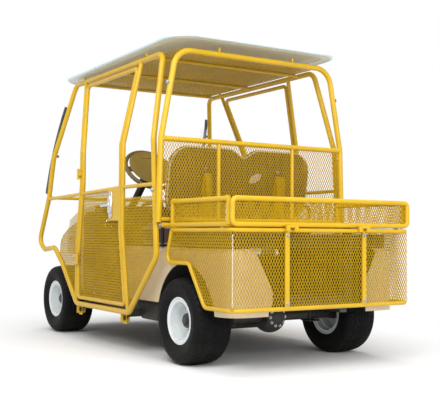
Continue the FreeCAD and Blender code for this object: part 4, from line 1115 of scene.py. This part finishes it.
def steering_wheel():
    ring = Gather()
    rings = []
    count = 144
    for k in range(count):
        angle = 2 * pi * k / count
        outward = column_way(cos(angle), sin(angle), 0)
        centre = on_column(0.160 * cos(angle), 0.160 * sin(angle), 0)
        section = []
        for m in range(16):
            turn = 2 * pi * m / 16
            grip = 0.0014 * cos(angle * 36) * max(0.0, -sin(turn)) if abs(sin(angle)) > 0.35 else 0.0
            size = 0.0136 - 0.0008 * abs(cos(turn)) - grip
            section.append(centre + outward * (size * cos(turn)) + column_way(0, 0, 1) * (size * sin(turn)))
        rings.append(section)
    ring.loft(rings, loop=True)
    ring.put("steering_wheel_rim", "wheel_grip", 50, "steering_wheel_body", "dark_plastic",
          ["steering_wheel"])
    spokes = Gather()
    for way_x, way_y, wide, narrow in ((0, 1, 0.056, 0.040), (0, -1, 0.056, 0.040), (-1, 0, 0.060, 0.044),
                                       (1, 0, 0.046, 0.034)):
        out = Vector((way_x, way_y, 0))
        over = Vector((-way_y, way_x, 0))
        sections = []
        for reach, width, level, thick in ((0.024, wide, -0.004, 0.016), (0.060, wide * 0.92, -0.002, 0.013),
                                           (0.100, (wide + narrow) / 2, 0.000, 0.011),
                                           (0.140, narrow, 0.001, 0.011), (0.156, narrow * 1.12, 0.001,
                                                                           0.012)):
            spot = out * reach
            section = []
            for a, b in strip_section(width, thick, 0.0035):
                local = spot + over * a
                section.append(on_column(local.x, local.y, level + b))
            sections.append(section)
        spokes.loft(sections)
    turned(spokes, on_column(0, 0, -0.030), column_way(0, 0, 1),
           [(0, 0.022), (0.002, 0.034), (0.010, 0.043), (0.026, 0.046), (0.036, 0.045), (0.042, 0.041),
            (0.046, 0.030), (0.0475, 0.016), (0.048, 0.001)], 40)
    turned(spokes, on_column(0, 0, -0.074), column_way(0, 0, 1), [(0, 0.0092), (0.048, 0.0092)], 24)
    spokes.put("steering_wheel_spokes", "wheel_grip", 40, "steering_wheel_body")
    clip = Gather()
    out, over, up = column_way(1, 0, 0), column_way(0, 1, 0), column_way(0, 0, 1)
    slab(clip, oblong(on_column(0, 0, 0.0165), out, over, 0.284, 0.284, 0.140, 12), up, 0.0035)
    swept(clip, oblong(on_column(0, 0, 0.0200), out, over, 0.262, 0.262, 0.129, 12), 0.0022, 8, closed=True)
    slab(clip, oblong(on_column(0.090, 0, 0.0200), out, over, 0.016, 0.080, 0.004), up, 0.006)
    clip.put("steering_wheel_card_holder", "card_holder", 40, "steering_wheel_body")


def column_fittings():
    boot = Gather()
    down = column_way(0, 0, -1)
    outline = []
    for k in range(13):
        outline.append((0.372 + 0.0055 * k, 0.0285 + 0.0016 * k + (0.0022 if k % 2 else 0.0)))
    turned(boot, on_column(0, 0, 0), down, [(0.370, 0.0245)] + outline + [(0.446, 0.055)], 40)
    turned(boot, on_column(0, 0, 0), down, [(0.034, 0.024), (0.0345, 0.031), (0.040, 0.0335), (0.110, 0.0335),
                                            (0.122, 0.030), (0.128, 0.0245)], 36)
    boot.put("steering_column_boot", "black_rubber", 35)
    face_way = Vector((-0.981, 0, -0.192))
    up = Vector((-0.192, 0, 0.981))

    def on_face(y, rise):
        """A point of the dashboard's rear face, risen along it from its lower edge."""
        return at(1.242, y, 0.600) + up * rise

    pockets = Gather()
    frames = Gather()
    for y, width in ((-0.255, 0.330), (0.020, 0.120)):
        centre = on_face(y, 0.105)
        swept(frames, oblong(centre + face_way * 0.002, LEFT, up, width, 0.128, 0.030), 0.0055, 10,
              closed=True)
        slab(pockets, oblong(centre + face_way * 0.0005, LEFT, up, width, 0.128, 0.030), face_way,
             0.0012, 0.0004)
    frames.put("dashboard_pocket_frames", "dark_plastic", 40)
    pockets.put("dashboard_pocket_floors", "black_rubber", 30)
    gauges = Gather()
    turned(gauges, on_face(0.425, 0.150), face_way, [(-0.001, 0.030), (0.006, 0.030), (0.0085, 0.027),
                                                     (0.0085, 0.024), (0.005, 0.0225), (0.0048, 0.001)], 36)
    turned(gauges, on_face(0.130, 0.150), face_way, [(-0.001, 0.013), (0.003, 0.013), (0.004, 0.009),
                                                     (0.009, 0.0085), (0.0095, 0.001)], 28)
    gauges.put("dashboard_gauge_and_switch", "latch_chrome", 30)
    for y in (-0.150, 0.430):
        cup = Gather()
        spot = at(1.237, y, 0.8642)
        turned(cup, spot, UP, [(-0.001, 0.0235), (0.0022, 0.0235), (0.0030, 0.0215), (0.0015, 0.0195),
                                              (0.0004, 0.001)], 32)
        cup.put("dashboard_tee_well_" + side_name(y), "black_rubber", 40)


def pedals():
    for name, y in (("brake", 0.190), ("throttle", 0.360)):
        pad = Gather()
        face = -FORWARD
        slab(pad, oblong(at(1.332, y, 0.422), LEFT, UP, 0.078, 0.108, 0.012), face, 0.003)
        for k in range(7):
            z = 0.380 + 0.014 * k
            ribbon(pad, [at(1.3285, y - 0.032, z), at(1.3285, y + 0.032, z)],
                   strip_section(0.005, 0.0022, 0.0008),
                   -FORWARD)
        pad.put("%s_pedal_rubber" % name, "black_rubber", 30)


steering_wheel()
column_fittings()
pedals()


# Cage hardware: door latches, hinge caps, screen trim, skirt uprights, mesh folds with a painted highlight,
# bolts and welds

def door_latch(sign):
    body = "door_" + side_name(sign)
    name = "door_latch_" + side_name(sign)
    low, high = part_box(name)
    seat = low.y if sign > 0 else high.y
    out = Vector((0, sign, 0))
    x = REAR_X + 0.7115
    shape = Gather()
    slab(shape, oblong(Vector((x, seat, 0.852)), FORWARD, UP, 0.044, 0.162, 0.021, 8), out, 0.0055, 0.0015)
    rings = []
    for lift, grow in ((0.005, 0.0), (0.011, -0.001), (0.0165, -0.004), (0.0190, -0.009), (0.0195, -0.014)):
        rings.append(oblong(Vector((x, seat, 0.850)) + out * lift, FORWARD, UP, 0.036 + 2 * grow,
                            0.104 + 2 * grow, 0.017 + grow, 8))
    shape.loft(rings)
    boss = [(0, 0.0125), (0.0160, 0.0125), (0.0195, 0.0105), (0.0205, 0.006), (0.0206, 0.001)]
    turned(shape, Vector((x, seat + sign * 0.004, 0.850)), out, boss, 28)
    lock = [(0, 0.0065), (0.0045, 0.0065), (0.0055, 0.0045), (0.0050, 0.002), (0.0049, 0.001)]
    turned(shape, Vector((x, seat + sign * 0.003, 0.918)), out, lock, 20)
    sections = []
    for reach, wide, thick, level, drop in ((-0.012, 0.010, 0.006, 0.0200, 0.0),
                                            (-0.006, 0.019, 0.009, 0.0200, 0.0),
                                            (0.020, 0.0165, 0.0085, 0.0205, 0.0),
                                            (0.055, 0.0150, 0.0080, 0.0200, 0.001),
                                            (0.085, 0.0170, 0.0080, 0.0190, 0.002),
                                            (0.100, 0.0180, 0.0080, 0.0185, 0.003),
                                            (0.1065, 0.0130, 0.0060, 0.0185, 0.003),
                                            (0.1090, 0.0060, 0.0030, 0.0185, 0.003)):
        centre = Vector((x + reach, seat + sign * level, 0.850 - drop))
        section = strip_section(wide, thick, min(0.0025, thick * 0.4))
        sections.append([centre + UP * a + out * b for a, b in section])
    shape.loft(sections)
    shape.put(name + "_polished", "latch_chrome", 40, body, "latch_chrome", [name])
    screws = Gather()
    for z in (0.781, 0.927):
        head = [(0, 0.0042), (0.0012, 0.0042), (0.0022, 0.0028), (0.0024, 0.001)]
        turned(screws, Vector((x, seat + sign * 0.005, z)), out, head, 16)
    screws.put(name + "_screws", "zinc", 30, body)


def hinge_caps(sign):
    body = "door_" + side_name(sign)
    caps = Gather()
    for height in (0.520, 1.060):
        for way in (1, -1):
            spot = at(1.192, sign * 0.651, height + way * 0.0318)
            cap = [(0, 0.0052), (0.0022, 0.0052), (0.0032, 0.0038), (0.0034, 0.001)]
            turned(caps, spot, UP * way, cap, 18)
    caps.put("door_hinge_pins_" + side_name(sign), "zinc", 30, body)


def screen_trim():
    """Rubber strips ahead of the clear screen's upright edges, with brackets and clamp bolts.

    The strips bow forward to follow the photo's view, where real ones are straight.
    """
    stand_off, bow, width = 0.052, 0.030, 0.030
    data = NODES["windshield"].data
    corners = {}
    for vertex in data.vertices:
        point = vertex.co
        corners.setdefault((point.y > 0, point.z > 1.2), []).append(point.copy())
    spot = {key: sum(points, Vector()) / len(points) for key, points in corners.items()}
    slope = (spot[(True, True)] - spot[(True, False)]).normalized()
    ahead = slope.cross(LEFT).normalized()
    if ahead.x < 0:
        ahead = -ahead
    trim = Gather()
    for side in (True, False):
        low, high = spot[(side, False)], spot[(side, True)]
        reach = (high - low).normalized()
        out = Vector((0, 1 if side else -1, 0))
        path = [low + reach * (0.045 * k) - out * 0.006 for k in range(int((high - low).length / 0.045))]
        path += [high - out * 0.006, high + reach * 0.070 - out * 0.010]
        rings = []
        for index, point in enumerate(path):
            tip = stand_off + bow * sin(pi * index / (len(path) - 1))
            section = [(tip - width, -0.006), (tip - 0.003, -0.006), (tip, -0.003), (tip, 0.001),
                       (tip - 0.003, 0.003), (tip - width, 0.003)]
            rings.append([point + ahead * a + out * (b + 0.003) for a, b in section])
            if index % 4 == 2:
                swept(trim, [point, point + ahead * (tip - 0.026)], 0.004, 8)
        trim.loft(rings)
    trim.put("windshield_edge_trim", "screen_rubber", 40)
    places = []
    for side in (True, False):
        inward = Vector((0, -1 if side else 1, 0))
        for share in (0.10, 0.50, 0.90):
            point = spot[(side, False)].lerp(spot[(side, True)], share) + inward * 0.014
            places.append((point + ahead * 0.0040, ahead))
    bolts("windshield_clamp_bolts", places, 0.011, "zinc")


def skirt_uprights():
    bars = Gather()
    places = []
    for y in (0.250, -0.250):
        x = -0.5045
        ribbon(bars, [at(x, y, 0.318), at(x, y, 0.699)], strip_section(0.026, 0.004), -FORWARD)
        places.append((at(x - 0.002, y, 0.677), (-1, 0, 0)))
        places.append((at(x - 0.002, y, 0.340), (-1, 0, 0)))
    bars.put("skirt_uprights", "cage_yellow", 30, "chassis", "cage_yellow")
    bolts("skirt_upright_bolts", places, 0.012)


def mesh_fold_glints():
    """Pale glossy strands, a painted highlight for the glint where the rear mesh folds round the cage's
    corners.
    """
    folds = Gather()
    for sign in (1, -1):
        for low, high, x in ((0.335, 0.690, -0.4945), (0.748, 0.838, -0.4400)):
            count = int((high - low) / 0.0158)
            for k in range(count):
                z = low + 0.0158 * k
                lean = 0.0022 if k % 2 else -0.0022
                if x < -0.45:
                    start = at(x - 0.0015, sign * 0.5672 + lean, z)
                    end = at(x - 0.0015, sign * 0.5672 - lean, z + 0.0135)
                else:
                    start = at(x + lean, sign * 0.5685, z)
                    end = at(x - lean, sign * 0.5685, z + 0.0135)
                swept(folds, [start, (start + end) / 2, end], 0.0019, 6)
    folds.put("mesh_corner_fold_glints", "painted_glint_fold", 40)


def cage_bolts():
    large, small, dark = [], [], []
    plates = Gather()
    for sign in (1, -1):
        out = LEFT * sign
        for station in (0.567, 1.211):
            feet = oblong(at(station - 0.003, sign * 0.6150, 0.2000), LEFT, UP, 0.058, 0.050, 0.008, 3)
            slab(plates, feet, -FORWARD, 0.006)
            dark.append((at(station - 0.009, sign * 0.6150, 0.1980), (-1, 0, 0)))
        large.append((at(0.132, sign * 0.6172, 0.730), out))
        large.append((at(0.1775, sign * 0.6462, 0.917), out))
        large.append((at(0.132, sign * 0.5790, 1.500), out))
        for station, z in ((1.666, 0.646), (1.598, 0.545), (1.420, 0.640), (1.330, 0.560)):
            small.append((at(station, sign * 0.5046, z), out))
    bolts("cage_bolts", large, 0.016)
    bolts("cowl_bolts", small, 0.010, "black_steel")
    bolts("side_foot_bolts", dark, 0.018, "black_steel")
    plates.put("side_feet", "cage_yellow", 30, "chassis", "cage_yellow")


def cage_welds():
    beads = Gather()
    for sign in (1, -1):
        for z in (0.730, 0.854):
            weld(beads, at(0.074, sign * 0.567, z), FORWARD, 0.0128)
            weld(beads, at(-0.447, sign * 0.567, z), FORWARD, 0.0128)
        weld(beads, at(0.132, sign * 0.6020, 1.194), LEFT, 0.0148)
        weld(beads, at(0.132, sign * 0.604, 0.730), LEFT, 0.0128)
    beads.put("cage_weld_beads", "cage_yellow", 60)


for sign in (1, -1):
    door_latch(sign)
    hinge_caps(sign)
screen_trim()
skirt_uprights()
mesh_fold_glints()
cage_bolts()
cage_welds()


# Running gear details

def axle_details():
    parts = Gather()
    places = []
    for sign in (1, -1):
        for station, y, z, half in ((0.0, 0.288, REAR_AXLE.z, 0.030), (1.750, 0.222, REAR_AXLE.z, 0.025)):
            for way in (1, -1):
                for lean in (1, -1):
                    x = station + way * 0.034
                    swept(parts, [at(x, sign * y + lean * 0.030, z + half + 0.032),
                                  at(x, sign * y + lean * 0.030, z - half - 0.006)], 0.005, 8)
                    places.append((at(x, sign * y + lean * 0.030, z + half + 0.024), (0, 0, 1)))
            slab(parts, oblong(at(station, sign * y, z - half - 0.010), FORWARD, LEFT,
                               0.086, 0.080, 0.008), UP, 0.007)
    rear = -FORWARD
    for k in range(10):
        angle = 2 * pi * k / 10
        radius = 0.048
        x = -sqrt(0.092 ** 2 - radius ** 2)
        places.append((at(x, radius * cos(angle), REAR_AXLE.z + radius * sin(angle)), rear))
    turned(parts, at(0.195, 0.1605, REAR_AXLE.z), LEFT, [(-0.002, 0.0845), (0.006, 0.086), (0.010, 0.080),
                                                                    (0.014, 0.050), (0.016, 0.001)], 40)
    parts.put("axle_clamps", "cast_black", 35)
    bolts("axle_bolts", places, 0.011)


def canopy_underside():
    low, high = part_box("canopy")
    sheet = Gather()
    rings = []
    for inset, lift in ((0.0235, 0.0086), (0.060, 0.0090), (0.0605, 0.0062), (0.075, 0.0062),
                        (0.0755, 0.0090),
                        (0.200, 0.0092)):
        rings.append(rounded_rectangle(low.x, high.x, high.y, 0.15, inset, low.z + lift))
    rings.append(rounded_rectangle(low.x, high.x, high.y, 0.15, 0.200, low.z + 0.0098))
    rings.append(rounded_rectangle(low.x, high.x, high.y, 0.15, 0.0235, low.z + 0.0098))
    sheet.loft(tilted(rings))
    sheet.put("canopy_underside", "canopy_under", 40)


def side_panels():
    """Beige plates below the cowl and ahead of the seat pod's side, fitted to the photo's view alone."""
    below_cowl = [(1.428, 0.300), (1.450, 0.320), (1.500, 0.420), (1.545, 0.500), (1.550, 0.560),
                  (1.428, 0.560)]
    ahead_of_seat = [(0.640, 0.300), (0.800, 0.300), (0.800, 0.604), (0.640, 0.606)]
    panels = Gather()
    for sign in (1, -1):
        for outline, y in ((below_cowl, 0.5075), (ahead_of_seat, 0.5000)):
            slab(panels, [at(s, sign * y, z) for s, z in outline], LEFT * sign, 0.004)
    panels.put("side_panels", "body_beige", 30, slot="body_beige")


def guard_edge_wires():
    """Wires round the front guards' mesh and along the fitted edge where its strands stop."""
    wires = Gather()
    for group in walls:
        axis, _, _, level, outline = outline_of(group)
        if axis == 1 and max(p[0] for p in outline) > 1.0:
            swept(wires, [Vector((p[0], level, p[1])) for p in outline], 0.0012, 6, closed=True)
            inside = copysign(abs(level) - 0.001, level)
            swept(wires, [at(s, inside, z) for s, z in BROW], 0.0022, 8)
    wires.put("guard_edge_wires", "mesh_yellow", 40, slot="mesh_yellow")


def dash_ends():
    """Black plates over the rear of the cowl's flanks, only because the photo is dark at that place."""
    outline = [(1.245, 0.300), (1.430, 0.300), (1.430, 0.790), (1.400, 0.815), (1.275, 0.830), (1.245, 0.800)]
    ends = Gather()
    for sign in (1, -1):
        slab(ends, [at(s, sign * 0.5055, z) for s, z in outline], LEFT * sign, 0.003)
    ends.put("dash_ends", "dark_plastic", 30)


def side_boxes():
    """A short black box ahead of each rear wheel, and a long one under the floor, which is a guess and partly
    painted shade for the dark there.
    """
    short_box = (0.344, 0.560, 0.222, 0.520, 0.192, 0.296)
    # the long box is partly painted shade: a dark block that fills the shade under the floor
    guessed_box_and_painted_shade = (0.580, 1.260, 0.222, 0.500, 0.200, 0.352)
    boxes = Gather()
    for sign in (1, -1):
        for x0, x1, y0, y1, z0, z1 in (short_box, guessed_box_and_painted_shade):
            height = z1 - z0
            centre = at((x0 + x1) / 2, sign * (y0 + y1) / 2, z0)
            rings = []
            for inset, lift in ((0.012, 0.0), (0.004, 0.003), (0.0, 0.012), (0.0, height - 0.010),
                                (0.004, height - 0.009), (0.004, height)):
                rings.append(oblong(centre + UP * lift, FORWARD, LEFT, x1 - x0 - 2 * inset,
                                    y1 - y0 - 2 * inset, 0.018, 5))
            boxes.loft(rings)
    boxes.put("side_boxes", "dark_plastic", 35)


axle_details()
canopy_underside()
side_panels()
guard_edge_wires()
dash_ends()
side_boxes()


# Plain finishes of the CAD pieces that stay

for node, obj in NODES.items():
    slots = {row["node"]: row["material_slot"] for row in frame["record"]["subparts"]}
    obj.data.materials.clear()
    obj.data.materials.append(M[slots[node]])


# Stage, light and camera

def stage():
    """A floor of white paper that fades into the white surroundings away from the cart."""
    data = bpy.data.meshes.new("floor")
    reach = 60.0
    data.from_pydata([(-reach, -reach, 0), (reach, -reach, 0), (reach, reach, 0), (-reach, reach, 0)], [],
                     [(0, 1, 2, 3)])
    floor = bpy.data.objects.new("floor", data)
    scene.collection.objects.link(floor)
    made, tree, body = shader("floor_paper")
    body.inputs["Roughness"].default_value = 0.9
    body.inputs["Specular IOR Level"].default_value = 0.0
    paper = noise_node(tree, 1.5)
    tone = ramp(tree, paper, "Fac", [(0.3, (0.90, 0.90, 0.90)), (0.7, (0.92, 0.92, 0.92))])
    link(tree, tone, "Color", body, "Base Color")
    coord = tree.nodes.new("ShaderNodeTexCoord")
    flat = tree.nodes.new("ShaderNodeMapping")
    flat.inputs["Scale"].default_value = (1.0, 1.6, 0.0)
    link(tree, coord, "Object", flat, "Vector")
    away = tree.nodes.new("ShaderNodeVectorMath")
    away.operation = "LENGTH"
    link(tree, flat, "Vector", away, 0)
    fade = spread(tree, away, "Value", 0.0, 1.0, 1.1, 2.6)
    fade.interpolation_type = "SMOOTHSTEP"
    glow = tree.nodes.new("ShaderNodeEmission")
    glow.inputs["Strength"].default_value = 1.0
    mix = tree.nodes.new("ShaderNodeMixShader")
    out = tree.nodes["Material Output"]
    link(tree, fade, "Result", mix, "Fac")
    tree.links.new(body.outputs[0], mix.inputs[1])
    tree.links.new(glow.outputs[0], mix.inputs[2])
    tree.links.new(mix.outputs[0], out.inputs["Surface"])
    data.materials.append(made)

    world = bpy.data.worlds.new("studio")
    scene.world = world
    world.use_nodes = True
    nodes = world.node_tree.nodes
    background = nodes["Background"]
    background.inputs["Color"].default_value = (1, 1, 1, 1)
    path = nodes.new("ShaderNodeLightPath")
    level = nodes.new("ShaderNodeMapRange")
    level.inputs["To Min"].default_value = 0.34
    level.inputs["To Max"].default_value = 1.0
    seen = path.outputs["Is Camera Ray"]
    for kind in ("Is Glossy Ray", "Is Transmission Ray"):
        either = nodes.new("ShaderNodeMath")
        either.operation = "MAXIMUM"
        world.node_tree.links.new(seen, either.inputs[0])
        world.node_tree.links.new(path.outputs[kind], either.inputs[1])
        seen = either.outputs[0]
    world.node_tree.links.new(seen, level.inputs["Value"])
    world.node_tree.links.new(level.outputs["Result"], background.inputs["Strength"])

    def area(name, spot, target, size, power):
        lamp = bpy.data.lights.new(name, "AREA")
        lamp.shape = "RECTANGLE"
        lamp.size, lamp.size_y = size
        lamp.energy = power
        obj = bpy.data.objects.new(name, lamp)
        obj.location = spot
        obj.rotation_euler = (target - spot).to_track_quat("-Z", "Y").to_euler()
        scene.collection.objects.link(obj)

    target = Vector((0, 0, 0.8))
    area("key_light", Vector((-3.4, 3.8, 4.4)), target, (3.0, 3.0), 215)
    area("top_light", Vector((0.0, 0.0, 6.5)), target, (4.5, 4.5), 230)
    area("side_light", Vector((-5.0, 0.5, 2.4)), target, (3.0, 2.5), 110)


def camera():
    """The photo's camera, solved from the photo: angles in radians, focal length in the photo's pixels."""
    yaw, pitch, roll = 0.5597, 0.0368, 0.0052
    focal_pixels, photo_width = 844.12, 440.0
    view = Vector((cos(pitch) * cos(yaw), -cos(pitch) * sin(yaw), sin(pitch)))
    right = view.cross(UP).normalized()
    up = right.cross(view)
    right, up = (right * cos(roll) + up * sin(roll), up * cos(roll) - right * sin(roll))
    data = bpy.data.cameras.new("camera")
    data.sensor_width = 36.0
    data.lens = data.sensor_width * focal_pixels / photo_width
    obj = bpy.data.objects.new("camera", data)
    spot = at(-3.852, 2.741, 0.679)
    turn = Matrix((right, up, -view)).transposed().to_4x4()
    obj.matrix_world = Matrix.Translation(spot) @ turn
    scene.collection.objects.link(obj)
    scene.camera = obj


stage()
camera()
scene.view_settings.view_transform = "Standard"
